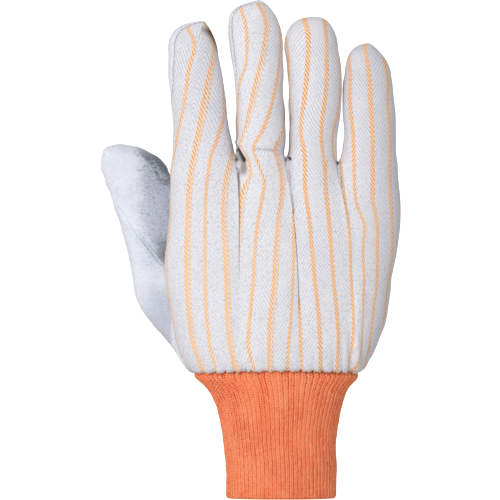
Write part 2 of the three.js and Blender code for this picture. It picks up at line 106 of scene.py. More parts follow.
FINGERS = [
    {
        "name": "index",
        "shaft": table(SHAFT, [
            (183, -57.9, -23.5, 4, 0.5, 12.6, 13.4),
            (185, -57.8, -24.8, 4, 0.8, 12.6, 13.3),
            (190, -57.6, -25.8, 4.0, 1.6, 12.6, 13.2),
            (201, -57.6, -28.2, 4.3, 2.6, 12.4, 12.8),
            (214, -59.2, -29.3, 5.4, 4.4, 12.0, 12.4),
            (223, -60.2, -30.5, 6.6, 6.0, 11.8, 12.2),
            (231, -60.3, -32.2, 8.0, 7.6, 11.6, 12.0),
            (238, -60.0, -33.8, 9.4, 9.2, 11.4, 11.8),
        ]),
        "wrap": table(WRAP, [
            (183, 0, 0), (205, 3, -2), (212, 16, -5), (220, 32, -8), (229, 36, -8), (238, 40, -8),
        ]),
        "tip": {
            "top": 254.9, "x": -40.8, "blunt_left": 2.8, "slope_left": 0.08, "blunt_right": 1.22, "wrap": 24,
        },
    },
    {
        "name": "middle",
        "shaft": table(SHAFT, [
            (182, -23.5, 2.7, 0.5, 0, 13.0, 13.6),
            (184, -24.0, 1.3, 0.3, 0.1, 13.0, 13.5),
            (190, -23.8, 2.0, 0.2, 0.2, 13.0, 13.4),
            (201, -24.0, 2.3, 0.8, 0.8, 12.8, 13.0),
            (215, -24.3, 1.0, 2.4, 2.4, 12.4, 12.6),
            (228, -25.8, 1.1, 4.6, 4.6, 12.2, 12.4),
            (238, -27.3, 0.7, 6.6, 6.6, 12.0, 12.2),
            (246, -28.6, 0.5, 8.4, 8.4, 11.8, 12.0),
        ]),
        "wrap": table(WRAP, [
            (182, 0, 0), (212, 0, -8), (220, 10, -8), (227, 24, -8), (233, 31, -8), (241, 34, -8),
            (246, 36, -8),
        ]),
        "tip": {
            "top": 266, "x": -12.5, "blunt_left": 4.4, "slope_left": 0.25, "blunt_right": 1.75, "wrap": 22,
        },
    },
    {
        "name": "ring",
        "shaft": table(SHAFT, [
            (180, 2.7, 30.4, 0, 2, 12.8, 13.4),
            (182, 3.9, 30.2, 0.1, 2, 12.8, 13.3),
            (189, 4.5, 29.9, 0.4, 2.2, 12.8, 13.2),
            (200, 4.6, 31.0, 1.2, 2.8, 12.5, 12.8),
            (212, 4.5, 31.7, 2.8, 4.2, 12.1, 12.4),
            (223, 4.1, 32.2, 4.8, 6.0, 11.9, 12.2),
            (234, 3.1, 31.6, 7.2, 8.2, 11.7, 12.0),
            (240, 2.2, 30.5, 8.8, 9.6, 11.5, 11.8),
        ]),
        "wrap": table(WRAP, [(180, 0, 0), (195, -6, -6), (215, -8, -8), (240, -8, -8)]),
        "tip": {"top": 256.9, "x": 19, "blunt_left": 2.6, "blunt_right": 2, "wrap": -6},
    },
    {
        "name": "little",
        "shaft": table(SHAFT, [
            (177.5, 30.4, 62.1, 2, 6, 12.2, 12.8),
            (179.5, 31.4, 62.0, 2.1, 6.0, 12.2, 12.7),
            (185, 32.6, 61.3, 2.6, 6.2, 12.0, 12.4),
            (193, 33.6, 61.5, 3.4, 6.8, 11.8, 12.0),
            (204, 33.5, 61.5, 5.2, 8.2, 11.4, 11.6),
            (214, 33.6, 60.9, 7.2, 9.8, 11.1, 11.3),
            (221, 33.6, 60.0, 8.8, 11.2, 10.9, 11.1),
            (227, 34.6, 59.0, 10.4, 12.6, 10.7, 10.9),
        ]),
        "wrap": table(WRAP, [(177.5, 0, -12), (195, -6, -10), (215, -8, -8), (227, -8, -8)]),
        "tip": {"top": 242.7, "x": 46.8, "blunt_left": 2.4, "blunt_right": 1.4, "wrap": -6},
    },
]

LAST_FINGER = len(FINGERS) - 1

# The hand from the hem to the crotches, on a level scale from the hem to HAND_TOP_Z. tuck1,
# tuck2 and valley3 are the lines that run down from the three crotches.
HAND_TOP_Z = 183.0
HAND = table("z left right leftY rightY back palm tuck1 tuck2 valley3", [
    (66, -47.4, 41.7, 0, 0, 24.2, 23.6, -21.6, 10.4, 27.5),
    (70, -50.7, 44.8, 0, 0, 25.2, 24.4, -22.0, 10.3, 29.5),
    (76, -53.9, 48.0, 0, 0, 25.6, 24.8, -22.3, 10.2, 31.5),
    (84, -55.8, 51.3, 0, 0, 25.2, 24.8, -22.4, 10.0, 33.5),
    (94, -57.7, 55.0, 0.2, 0.4, 24.0, 24.0, -22.4, 9.8, 35.5),
    (106, -59.7, 57.3, 0.6, 1.0, 22.6, 22.8, -22.4, 9.5, 36.8),
    (122, -61.3, 59.5, 1.2, 2.0, 21.2, 21.6, -22.4, 8.9, 37.2),
    (140, -60.2, 62.6, 2.0, 3.4, 20.0, 20.4, -22.3, 7.8, 36.6),
    (158, -59.4, 63.8, 2.8, 4.6, 18.6, 19.2, -22.2, 6.2, 34.2),
    (172, -58.9, 62.6, 3.4, 5.4, 17.0, 17.8, -22.6, 4.2, 31.6),
    (183, -57.9, 62.1, 4.0, 6.0, 15.4, 16.2, -23.5, 2.7, 30.4),
])
LINES = ("left", "tuck1", "tuck2", "valley3", "right")
# Height of the crotches and of the hand's two sides, across the glove
CROTCHES = table("x z", [(-57.9, 183.5), (-23.5, 180.7), (2.7, 180.8), (30.4, 179.2), (62.1, 176.5)])

# The thumb, from inside the heel of the palm to the start of its tip
THUMB = {
    "shaft": table(SHAFT, [
        (72, -49, -22, 7, 9, 6, 9),
        (80, -56.6, -24, 7.5, 11, 8, 10.5),
        (88, -64.6, -27, 8.5, 13, 9.5, 11.5),
        (97, -72.4, -31, 10, 15, 11, 12.5),
        (108, -78.3, -36, 12, 18, 12, 13.5),
        (120, -79.9, -41, 14, 21, 12.2, 13.5),
        (131, -82.6, -45, 15.5, 23.5, 12.0, 13),
        (142, -85.4, -48, 16.5, 25.5, 11.8, 12.5),
        (154, -88.4, -50.5, 17, 27, 11.6, 12),
        (165, -92.5, -54.5, 17, 28, 11.4, 11.6),
        (175, -96.4, -60.2, 17, 28, 11.0, 11.2),
    ]),
    "tip": {"top": 188.7, "x": -84.7, "blunt_left": 4.3, "blunt_right": 1.6},
}
# The seam between the thumb and the palm leather, seen from the back
THUMB_SEAM = table("x z", [
    (-112, 196), (-87.6, 156.8), (-78.4, 142.9), (-69.9, 131.8), (-60.9, 120.3), (-20, 70), (60, -12),
])

# The knit, from its lower edge up into the hem
KNIT = table("z left right back palm", [
    (0, -29.7, 29.7, 20.5, 20.5),
    (16, -29.7, 29.7, 20.5, 20.5),
    (31, -31.0, 29.4, 20.5, 20.5),
    (44, -33.1, 31.4, 21.0, 20.8),
    (53, -36.1, 33.7, 21.5, 21.2),
    (59, -39.8, 36.3, 21.9, 21.5),
    (64.5, -46.2, 41.1, 21.7, 21.3),
    (67, -45.8, 40.5, 21.3, 20.9),
    (73, -45.3, 40.2, 20.9, 20.5),
])

# The woven stripes, numbered across the cloth. Two of them are on two fingers' strips.
NINTH = [(67, 10.6), (84, 10.1), (104, 9.0)]
TWELFTH = [(67, 35.5), (79, 37.5), (96, 38.7), (116, 37.5), (142, 36.3), (157, 34.5), (170, 32.8)]
INDEX_STRIPES = {
    0: course([
        (67, -49.1), (81, -54.9), (96, -57.6), (119, -60.5), (149, -59.2), (171, -58.7),
        (191, -55.5), (212, -51.2), (229, -49.1), (242, -46.1), (250, -49.6),
    ]),
    1: course([
        (67, -41.3), (81, -46.2), (96, -48.6), (116, -49.8), (143, -50.1), (168, -48.6),
        (191, -44.8), (219, -40.0), (239, -36.0), (254, -41.6),
    ]),
    2: course([
        (67, -34.3), (81, -37.6), (106, -40.0), (131, -40.4), (159, -40.0), (181, -37.6),
        (190, -34.5), (204, -30.4), (218, -30.2),
    ]),
    3: course([
        (67, -23.7), (81, -27.0), (96, -28.6), (119, -29.3), (151, -30.9), (166, -30.2),
        (178, -27.7), (187, -25.3),
    ]),
}
MIDDLE_STRIPES = {
    4: course([
        (190, -22.9), (202, -22.7), (214, -23.1), (223, -21.4), (231, -18.5), (250, -18.5), (261, -21.4),
    ]),
    5: course([
        (140, -22.3), (159, -21.3), (167, -19.2), (172, -16.2), (181, -17.3), (187, -21.1),
        (190, -21.6), (201, -18.3), (220, -13.9), (238, -9.9), (254, -8.0), (265, -13.3),
    ]),
    6: course([
        (67, -13.5), (75, -15.9), (82, -17.5), (96, -16.6), (116, -14.9), (140, -13.3),
        (160, -10.0), (167, -8.8), (172, -10.0), (178, -12.5), (186.5, -14.9), (194, -10.7),
        (203, -7.1), (214, -4.0), (231, -1.1), (248, -0.5),
    ]),
    7: course([
        (67, -6.9), (92, -6.2), (116, -3.9), (131, -3.0), (149, -1.5), (159, 0.0), (170, 0.4),
        (178, -1.4), (185.5, -3.2), (194, 0.4), (199, 1.6), (210, 1.4),
    ]),
    8: course([(67, 3.2), (81, 4.1), (96, 5.3), (116, 6.5), (143, 6.4), (152, 5.9)]),
    9: course(NINTH),
}
RING_STRIPES = {
    9: course(NINTH + [
        (150, 4.0), (182, 4.4), (201, 5.0), (223, 4.5), (236, 3.9), (246, 2.6), (254, 1.0),
    ]),
    10: course([
        (67, 20.8), (96, 19.9), (116, 17.8), (147, 15.0), (165, 12.6), (177, 12.6), (186, 12.0), (194, 10.4),
        (202, 10.8), (216, 13.0), (231, 14.2), (247, 14.7), (256, 12.6),
    ]),
    11: course([
        (67, 29.3), (81, 30.2), (96, 29.8), (116, 27.8), (149, 25.2), (168, 23.6), (180, 23.0), (189, 21.9),
        (201, 21.9), (216, 23.6), (231, 24.4), (246, 24.0), (256, 22.8),
    ]),
    12: course(TWELFTH + [
        (178, 30.2), (182, 28.1), (192, 27.7), (201, 29.3), (213, 30.9), (229, 31.8),
    ]),
}
LITTLE_STRIPES = {
    12: course(TWELFTH + [
        (182, 31.2), (192, 31.0), (202, 29.5), (213, 31.2), (229, 31.8), (238, 30.6),
    ]),
    13: course([
        (67, 37.5), (81, 42.0), (96, 43.2), (116, 44.0), (132, 43.4), (146, 44.3), (151, 42.1), (158, 39.6),
        (168, 38.7), (181, 38.7), (194, 38.3), (211, 37.1), (225, 37.1), (234, 36.3),
    ]),
    14: course([
        (67, 43.2), (81, 46.5), (98, 48.5), (116, 51.0), (132, 51.1), (147, 50.7), (159, 48.9),
        (177, 48.7), (194, 48.5), (211, 47.7), (227, 46.8), (241, 44.7),
    ]),
    15: course([
        (98, 55.4), (116, 57.5), (131, 59.2), (142, 59.2), (159, 58.3), (177, 57.9), (194, 57.9),
        (210, 57.1), (223, 57.4), (234, 55.3),
    ]),
}
# How strong the thinner line beside a stripe is, the stripes whose threads lean up to the
# right, and the first stripe on each finger
SECOND_LINES = {1: 0.8, 3: 0.8, 5: 0.55, 7: 0.75}
RIGHT_LEANING = (2, 4, 6, 8, 13, 15)
FIRST_STRIPES = {"index": 0, "middle": 4, "ring": 9, "little": 9}
# The twill leans one way (1 is up to the right) below a stripe number and turns at each
HAND_LEANS = {
    "index": (-1, (0, 0.55, 1.75, 2.45)),
    "middle": (1, (6, 7, 8)),
    "ring": (1, (10, 11)),
    "little": (1, (13, 14, 15)),
}
FINGER_LEANS = HAND_LEANS | {"middle": (-1, (4, 4.5, 5.3))}
# How clear the twill is, by stripe number, near the hem, at the middle and at the fingertips
CLEARNESS = table("number low middle high", [
    (0, 0.3, 0.22, 0.7), (1, 0.25, 0.22, 0.8), (2, 0.2, 0.2, 0.75), (3, 0.3, 0.25, 0.5),
    (4, 0.6, 0.35, 0.35), (5, 0.6, 0.3, 0.55), (6, 0.4, 0.42, 0.8), (7, 0.5, 0.4, 0.7),
    (8, 0.6, 0.45, 0.6), (9, 0.5, 0.45, 0.5), (10, 0.45, 0.75, 0.75), (11, 0.35, 0.75, 0.95),
    (12, 0.25, 0.5, 0.85), (13, 0.2, 0.45, 0.85), (14, 0.2, 0.55, 0.9), (15, 0.25, 0.5, 0.5),
])
CLEAR_HEIGHTS = (85, 170, 220)


def at(a_table, x):
    """The named columns at x, by a smooth curve through the table's rows."""
    columns, rows = a_table
    x = np.asarray(x, float)
    keys = rows[:, 0]
    last = len(keys) - 1
    i = np.clip(np.searchsorted(keys, x, side="right") - 1, 0, last - 1)
    span = (keys[i + 1] - keys[i])[..., None]
    s = np.clip((x - keys[i])[..., None] / span, 0, 1)
    before = np.maximum(np.arange(last + 1) - 1, 0)
    after = np.minimum(np.arange(last + 1) + 1, last)
    slopes = (rows[after] - rows[before]) / (keys[after] - keys[before])[:, None]
    low = rows[i] * (2 * s ** 3 - 3 * s ** 2 + 1)
    high = rows[i + 1] * (3 * s ** 2 - 2 * s ** 3)
    lean = slopes[i] * (s ** 3 - 2 * s ** 2 + s) + slopes[i + 1] * (s ** 3 - s ** 2)
    found = low + high + lean * span
    return {name: found[..., c] for c, name in enumerate(columns)}


def column(section):
    return {name: values[:, None] for name, values in section.items()}


def mix(a, b, share):
    return a + (b - a) * share


def smooth(x):
    x = np.clip(x, 0, 1)
    return x * x * (3 - 2 * x)


def window(x, low, full, still, high):
    """1 from full to still, falling smoothly to 0 at low and at high."""
    return smooth((x - low) / (full - low)) * smooth((high - x) / (high - still))


def bump_at(x, middle, width, power=2):
    """A rise of height 1 at the middle: a sharp one for a power of 1, a flat one for 4."""
    return np.exp(-np.abs((x - middle) / width) ** power)


def rounded(value, squareness):
    return np.abs(value) ** (2 / squareness)


def cosine(angle, squareness):
    return rounded(np.maximum(0, np.cos(angle)), squareness)


def sine(angle, squareness):
    return rounded(np.sin(angle), squareness)


def rounded_off(height, reach, depth):
    """How far an edge is turned in at a height above it."""
    return depth * (1 - np.sqrt(1 - np.clip(1 - height / reach, 0, 1) ** 2))


RIPPLE_WAVES = 9
WAVE_SPREAD = (0.7, 1.4)     # of their lengths


def ripple(points, wavelength, seed):
    """Smooth unevenness of about unit height."""
    draw = np.random.default_rng(seed)
    total = np.zeros(points.shape[:-1])
    for _ in range(RIPPLE_WAVES):
        way = draw.normal(size=3)
        way *= 2 * math.pi / (wavelength * draw.uniform(*WAVE_SPREAD) * np.linalg.norm(way))
        total += np.sin(points @ way + draw.uniform(0, 2 * math.pi))
    return total / math.sqrt(RIPPLE_WAVES)


def arc_lengths(points):
    """Lengths along each row of points, from its first point."""
    steps = np.linalg.norm(np.diff(points, axis=1), axis=2)
    return np.concatenate([np.zeros((len(points), 1)), np.cumsum(steps, axis=1)], axis=1)


# The hand and the fingers

SIDES = np.where(np.arange(COLUMNS) <= HALF_COLUMNS, -1, 1)[None, :]


def first_of(limb):
    return limb["shaft"][1][0, 0]


def last_of(limb):
    return limb["shaft"][1][-1, 0]


def crotch_z(x):
    return at(CROTCHES, x)["z"]


def web_share(below, angle):
    """How far the surface has passed from the finger's section to the hand's."""
    gentle = smooth(below / WEB_FADE)
    steep = np.sqrt(1 - (1 - np.clip(below / WEB_LENGTH, 0, 1)) ** 2)
    edge = WEB_SHARE * steep + (1 - WEB_SHARE) * gentle
    return mix(gentle, edge, np.cos(angle) ** 2)


def spread(left_seam, right_seam, back):
    """Angles of a strip's columns, from its left seam over the crown to its right seam."""
    crown = math.pi / 2 if back else -math.pi / 2
    share = np.linspace(0, 1, HALF_COLUMNS + 1)
    left = left_seam[:, None] + (crown - left_seam[:, None]) * share
    right = right_seam[:, None] + (crown - right_seam[:, None]) * share
    return np.concatenate([left, right[:, -2::-1]], axis=1)


def limb_points(section, edge_x, edge_z, heart_x, heart_z, angle):
    """Points of a limb: edge is its side, heart its middle, the angle 0 at the side."""
    across = cosine(angle, FINGER_SQUARENESS)
    x = mix(heart_x, edge_x, across)
    share = np.clip((x - section["left"]) / (section["right"] - section["left"]), 0, 1)
    level = mix(section["leftY"], section["rightY"], share)
    out = np.where(angle > 0, -section["back"], section["palm"])
    depth = out * sine(angle, FINGER_SQUARENESS)
    return np.stack([x, level + depth, mix(heart_z, edge_z, across)], axis=-1)


def hand_rows(k, share, angle, back):
    """Points of the hand on finger k's strip, share of the way from the hem to the crotches."""
    section = column(at(HAND, mix(HEM_Z, HAND_TOP_Z, share)))
    left, right = section[LINES[k]], section[LINES[k + 1]]
    x = mix((left + right) / 2, np.where(SIDES < 0, left, right), cosine(angle, FINGER_SQUARENESS))
    z = mix(HEM_Z, crotch_z(x), share[:, None])
    below = crotch_z(x) - z
    outer = ((SIDES < 0) & (k == 0)) | ((SIDES > 0) & (k == LAST_FINGER))
    web = np.where(outer, smooth(below / WEB_FADE), web_share(below, angle))

    finger = at(FINGERS[k]["shaft"], first_of(FINGERS[k]))
    finger_level = mix(finger["leftY"], finger["rightY"], (x - left) / (right - left))
    on_back = (angle > 0) | ((angle == 0) & back)
    crown = np.where(on_back, finger["back"], finger["palm"])
    finger_depth = crown * sine(angle, FINGER_SQUARENESS)

    across = np.clip((x - section["left"]) / (section["right"] - section["left"]), 0, 1)
    squareness = np.where(on_back, BACK_SQUARENESS, PALM_SQUARENESS)
    arch = (1 - np.abs(2 * across - 1) ** squareness) ** (1 / squareness)
    hand_level = mix(section["leftY"], section["rightY"], across)
    hand_depth = np.where(on_back, section["back"], section["palm"]) * arch
    depth = mix(finger_depth, hand_depth, web)
    y = mix(finger_level, hand_level, web) + np.where(on_back, -depth, depth)
    return np.stack([x, y, z], axis=-1)


def tip_rows(limb, turn, angle, sides):
    """Points of a fingertip, a fan of rows round its outline that all end at its heart."""
    start = last_of(limb)
    section = at(limb["shaft"], start)
    tip = limb["tip"]
    blunt = np.where(sides < 0, tip["blunt_left"], tip["blunt_right"])
    side_x = np.where(sides < 0, section["left"], section["right"])
    turn = turn[:, None]
    edge_x = mix(tip["x"], side_x, cosine(turn, blunt))
    drop = np.where(sides < 0, tip.get("slope_left", 0.0), 0.0) * np.abs(edge_x - tip["x"])
    edge_z = mix(start, tip["top"] - drop, sine(turn, blunt))
    heart_x = (section["left"] + section["right"]) / 2
    return limb_points(section, edge_x, edge_z, heart_x, start, angle)


# The hem's puckers lie from side to side of the glove
HEM_SEED = 31
PUCKER_END = 60.0
PUCKER_WIDTHS = (4.2, 7.6)
PUCKER_SIZES = (0.55, 1.1)
PUCKER_REACHES = (5, 13)
PUCKER_ROUNDNESS = 0.8
PUCKER_MEAN = 0.62
HEM_ARCH = 1.9               # how much higher the hem is at the middle of the wrist
HEM_HALF = 44.0
HEM_REACH = 12.0
SCALLOP = 0.75


def gathers(x, seed):
    """Puckers where the cloth is drawn in to the knit: how far out, and how high they reach."""
    draw = np.random.default_rng(seed)
    knots = [-PUCKER_END]
    while knots[-1] < PUCKER_END:
        knots.append(knots[-1] + draw.uniform(*PUCKER_WIDTHS))
    knots = np.array(knots)
    i = np.clip(np.searchsorted(knots, x) - 1, 0, len(knots) - 2)
    share = np.clip((x - knots[i]) / (knots[i + 1] - knots[i]), 0, 1)
    size = draw.uniform(*PUCKER_SIZES, len(knots))[i]
    reach = draw.uniform(*PUCKER_REACHES, len(knots))[i]
    return size * (np.sin(math.pi * share) ** PUCKER_ROUNDNESS - PUCKER_MEAN), reach


def hem_rise(x, z):
    """The hem is a little higher at the middle of the wrist, and its edge is uneven."""
    arched = HEM_ARCH * np.clip(1 - (x / HEM_HALF) ** 2, 0, 1)
    scallop, _ = gathers(x, HEM_SEED)
    low = smooth(1 - (z - HEM_Z) / HEM_REACH)
    return arched * low - SCALLOP * scallop * low ** 2 * smooth(arched)


EVEN_SPACING = 1.35
EVEN_SHARE = 0.8
EVEN_BELOW = 20.0            # this far below the crotches the columns lie evenly


def evened(k, angle, below):
    """Below the crotches the columns beside a dart come to lie more evenly across."""
    column_number = np.arange(COLUMNS)
    share = np.minimum(column_number, column_number[::-1]) / HALF_COLUMNS
    way = np.sign(angle[:, HALF_COLUMNS])[:, None]
    even = way * np.arccos((1 - share ** EVEN_SPACING) ** (FINGER_SQUARENESS / 2))
    inner = ((SIDES < 0) & (k > 0)) | ((SIDES > 0) & (k < LAST_FINGER))
    return mix(angle, even, EVEN_SHARE * inner * smooth(below / EVEN_BELOW)[:, None])


def hand_grid(k, back):
    """The points of finger k's strip from the hem to the crotches, and their angles."""
    limb = FINGERS[k]
    share = 1 - (1 - np.linspace(0, 1, HAND_ROWS + 1)) ** HAND_CROWDING
    wrap = at(limb["wrap"], first_of(limb))
    shown = smooth(2 * share - 1)
    left_seam = np.radians(wrap["left"]) * shown * (k == 0)
    right_seam = np.radians(wrap["right"]) * shown * (k == LAST_FINGER)
    below = (1 - share) * (HAND_TOP_Z - HEM_Z)
    angle = evened(k, spread(left_seam, right_seam, back), below)
    points = hand_rows(k, share, angle, back)
    points[..., 2] += hem_rise(points[..., 0], points[..., 2])
    return points, angle


def shaft_grid(limb, back):
    """The points of a strip from the crotches to the fingertip, and their angles."""
    start = first_of(limb)
    share = (np.arange(1, SHAFT_ROWS + 1) / SHAFT_ROWS) ** SHAFT_CROWDING
    level = mix(start, last_of(limb), share)
    wrap = at(limb["wrap"], level)
    angle = spread(np.radians(wrap["left"]), np.radians(wrap["right"]), back)
    section = column(at(limb["shaft"], level))
    edge_x = np.where(SIDES < 0, section["left"], section["right"])
    heart_x = (section["left"] + section["right"]) / 2
    points = limb_points(section, edge_x, level[:, None], heart_x, level[:, None], angle)
    points[..., 2] += (crotch_z(points[..., 0]) - start) * (1 - share[:, None])
    return points, angle


def tip_grid(limb, back):
    """The points of a strip over the fingertip, and their angles."""
    wrap = at(limb["wrap"], last_of(limb))
    end = np.radians(limb["tip"]["wrap"])
    share = smooth(TIP_TURNS / (math.pi / 2))
    seams = [mix(np.radians(wrap[side]), end, share) for side in ("left", "right")]
    angle = spread(*seams, back)
    return tip_rows(limb, TIP_TURNS, angle, SIDES), angle


def strip(k, back):
    """Finger k's strip of one side of the glove, from the hem to the top of its tip."""
    limb = FINGERS[k]
    grids = (hand_grid(k, back), shaft_grid(limb, back), tip_grid(limb, back))
    return {
        "k": k,
        "limb": limb,
        "back": back,
        "points": np.concatenate([points for points, _ in grids]),
        "angle": np.concatenate([angle for _, angle in grids]),
        "turn": np.concatenate([np.zeros(TIP_START), TIP_TURNS]),
    }


# Meshes from grids of points

def grid_corners(shape, first, closed=False):
    """Triangles of a grid of points numbered from first, row by row."""
    rows, columns = shape
    index = np.arange(rows * columns).reshape(rows, columns) + first
    if closed:
        index = np.concatenate([index, index[:, :1]], axis=1)
    a, b = index[:-1, :-1].ravel(), index[:-1, 1:].ravel()
    c, d = index[1:, 1:].ravel(), index[1:, :-1].ravel()
    return np.concatenate([np.stack([a, b, c], 1), np.stack([a, c, d], 1)])


def weld(points):
    """The number of each point's place, with points at one place sharing one number."""
    keys = np.round(points / SAME_PLACE).astype(np.int64)
    _, first, place = np.unique(keys, axis=0, return_index=True, return_inverse=True)
    return first, place.ravel()


def still_whole(triangles):
    """Which triangles keep three different corners."""
    a, b, c = triangles.T
    return (a != b) & (b != c) & (c != a)


def vertex_normals(points, triangles):
    a, b, c = (points[triangles[:, i]] for i in range(3))
    faces = np.cross(b - a, c - a)
    normals = np.zeros_like(points)
    for i in range(3):
        np.add.at(normals, triangles[:, i], faces)
    return normals / np.maximum(np.linalg.norm(normals, axis=1, keepdims=True), 1e-12)


def facing_out(points, triangles):
    """The triangles turned to face away from the middle of their points, and the normals."""
    normals = vertex_normals(points, triangles)
    if ((points - points.mean(axis=0)) * normals).sum() < 0:
        return triangles[:, ::-1], -normals
    return triangles, normals


def rim_edges(triangles, count):
    """The directed edges that only one triangle has."""
    edges = np.concatenate([triangles[:, [i, (i + 1) % 3]] for i in range(3)])
    there = edges[:, 0] * count + edges[:, 1]
    back_again = edges[:, 1] * count + edges[:, 0]
    return edges[~np.isin(back_again, there)]


def wall(outer, inner, triangles):
    """A closed wall between two surfaces with the same triangles: points and triangles."""
    count = len(outer)
    a, b = rim_edges(triangles, count).T
    sides = np.concatenate([np.stack([b, a, a + count], 1), np.stack([b, a + count, b + count], 1)])
    return np.concatenate([outer, inner]), np.concatenate([triangles, triangles[:, ::-1] + count, sides])


def mesh_object(name, points, triangles, maps=None):
    """A smooth-shaded mesh from points in millimetres. maps holds a value pair per corner."""
    mesh = bpy.data.meshes.new(name)
    mesh.from_pydata((points * MM).tolist(), [], triangles.tolist())
    mesh.shade_smooth()
    for map_name, values in (maps or {}).items():
        layer = mesh.uv_layers.new(name=map_name)
        layer.data.foreach_set("uv", values.reshape(-1).astype(np.float32))
    made = bpy.data.objects.new(name, mesh)
    bpy.context.collection.objects.link(made)
    return made


def gathered(strips, name, width):
    """The values that the strips have under a name, a row for each point."""
    return np.concatenate([part[name].reshape(-1, width) for part in strips])


def strip_corners(strips):
    """The triangles of several strips, numbered through all their points."""
    found, first = [], 0
    for part in strips:
        corners = grid_corners(part["angle"].shape, first)
        found.append(corners if part["back"] else corners[:, ::-1])
        first += part["angle"].size
    return np.concatenate(found)


def sheet_surface(strips):
    """One welded surface of several strips: points, triangles, the map values of each corner,
    normals and relief."""
    points = gathered(strips, "points", 3)
    triangles = strip_corners(strips)
    kept, place = weld(points)
    welded = place[triangles]
    whole = still_whole(welded)
    maps = gathered(strips, "maps", MAPS)[triangles[whole]]
    relief = np.bincount(place, gathered(strips, "relief", 1)[:, 0]) / np.bincount(place)
    return points[kept], welded[whole], maps, gathered(strips, "normals", 3)[kept], relief


def give_normals(strips):
    """Gives each strip the outward directions of the whole closed surface of the strips."""
    points = gathered(strips, "points", 3)
    kept, place = weld(points)
    normals = vertex_normals(points[kept], place[strip_corners(strips)])[place]
    first = 0
    for part in strips:
        last = first + part["angle"].size
        part["normals"] = normals[first:last].reshape(part["points"].shape)
        first = last


# The stripes' numbers and the twill over the cloth

COURSE_EASE = 22.0           # how soon a stripe beyond its course keeps to its neighbour


def stripe_places(arc, x, z, stripes, anchor):
    """Where each stripe crosses each row, as a length along the row. Past the ends of its
    course a stripe comes to lie one pitch from its neighbour."""
    places = {}
    level = z.mean(axis=1)
    for number in sorted(stripes, key=lambda number: abs(number - anchor)):
        stripe = stripes[number]
        low, high = stripe[1][0, 0], stripe[1][-1, 0]
        aside = x - at(stripe, z)["x"]
        crossing = np.array([np.interp(0, row, lengths) for row, lengths in zip(aside, arc)])
        if number == anchor:
            places[number] = crossing
            continue
        step = 1 if number > anchor else -1
        ideal = places[number - step] + step * STRIPE_PITCH
        stated = (level >= low) & (level <= high) & (aside[:, 0] < 0) & (aside[:, -1] > 0)
        if not stated.any():
            places[number] = ideal
            continue
        offset = np.interp(level, level[stated], (crossing - ideal)[stated])
        beyond = np.abs(level - np.clip(level, level[stated].min(), level[stated].max()))
        places[number] = ideal + offset * np.exp(-(beyond / COURSE_EASE) ** 2)
    return places


def stripe_numbers(arc, places):
    """The stripe number, with its fraction, at each length along its row."""
    numbers = sorted(places)
    first, last = places[numbers[0]][:, None], places[numbers[-1]][:, None]
    found = numbers[0] + np.minimum((arc - first) / STRIPE_PITCH, 0)
    for low, high in zip(numbers, numbers[1:]):
        gap = np.maximum(places[high] - places[low], 1.0)[:, None]
        found = found + np.clip((arc - places[low][:, None]) / gap, 0, 1)
    return found + np.maximum((arc - last) / STRIPE_PITCH, 0)


def seen_columns(angle):
    """The columns that never turn under the sides."""
    under = angle < 0
    left = under[:, :HALF_COLUMNS].sum(axis=1).max()
    right = under[:, HALF_COLUMNS:].sum(axis=1).max()
    return slice(int(left), COLUMNS - int(right))


def finger_numbers(part, stripes, anchor):
    """Stripe numbers on a finger's shaft and tip."""
    _, shaft, tip = np.split(part["points"], [SHAFT_START, TIP_START])
    seen = seen_columns(part["angle"][SHAFT_START:TIP_START])
    arc = arc_lengths(shaft)
    places = stripe_places(arc[:, seen], shaft[:, seen, 0], shaft[:, seen, 2], stripes, anchor)
    on_shaft = stripe_numbers(arc, places)

    # On the tip a stripe keeps its way across from the shaft's last row
    end = last_of(part["limb"])
    last_x, last_arc = shaft[-1, seen, 0], arc[-1, seen]
    x, z = tip[..., 0].ravel(), tip[..., 2].ravel()
    tip_places = {number: np.full(len(x), places[number][-1]) for number in places}
    for number, stripe in stripes.items():
        if stripe[1][-1, 0] > end:
            there = np.interp(at(stripe, z)["x"], last_x, last_arc)
            base = np.interp(at(stripe, end)["x"], last_x, last_arc)
            tip_places[number] = places[number][-1] + there - base
    tip_arc = np.interp(x, last_x, last_arc)
    on_tip = stripe_numbers(tip_arc[:, None], tip_places).reshape(tip.shape[:2])
    return np.concatenate([on_shaft, on_tip])


def hand_numbers(parts, stripes, anchor):
    """Stripe numbers on the hand, across strips that lie side by side."""
    joined = np.concatenate([part["points"][:SHAFT_START] for part in parts], axis=1)
    arc = arc_lengths(joined)
    places = stripe_places(arc, joined[..., 0], joined[..., 2], stripes, anchor)
    return np.split(stripe_numbers(arc, places), len(parts), axis=1)


# The cloth's maps, each a pair of values
CLOTH_MAPS = ("stripes", "weave", "wear", "creases")
MAPS = 2 * len(CLOTH_MAPS)
TWILL_SLOPE = 1.6            # rise of the twill's lines for each millimetre across
EDGE_STRIPE = 0.45           # of a pitch, how near a seam comes to a finger's first stripe
TIP_OVER = 8.0               # how far the cloth's length goes on over a fingertip
LAST_LEAN = 8.0              # stripes past the last turn of the twill
# Where a finger's first stripes lie folded out of sight, between which heights, and how much
# of a pitch is hidden
FOLDED_AWAY = (
    {"finger": "ring", "heights": (153, 157, 182, 184), "share": 0.8},
    {"finger": "ring", "heights": (0, 1, 103, 106), "share": 0.46},
    {"finger": "middle", "heights": (0, 1, 184, 188), "share": 0.95},
)


def zigzag(numbers, lean, turns):
    """How far the twill's lines have risen across the cloth, in millimetres."""
    knots = [turns[0] - LAST_LEAN, *turns, turns[-1] + LAST_LEAN]
    heights = [0.0]
    for low, high in zip(knots, knots[1:]):
        heights.append(heights[-1] + lean * (high - low) * STRIPE_PITCH)
        lean = -lean
    return np.interp(numbers, knots, heights)


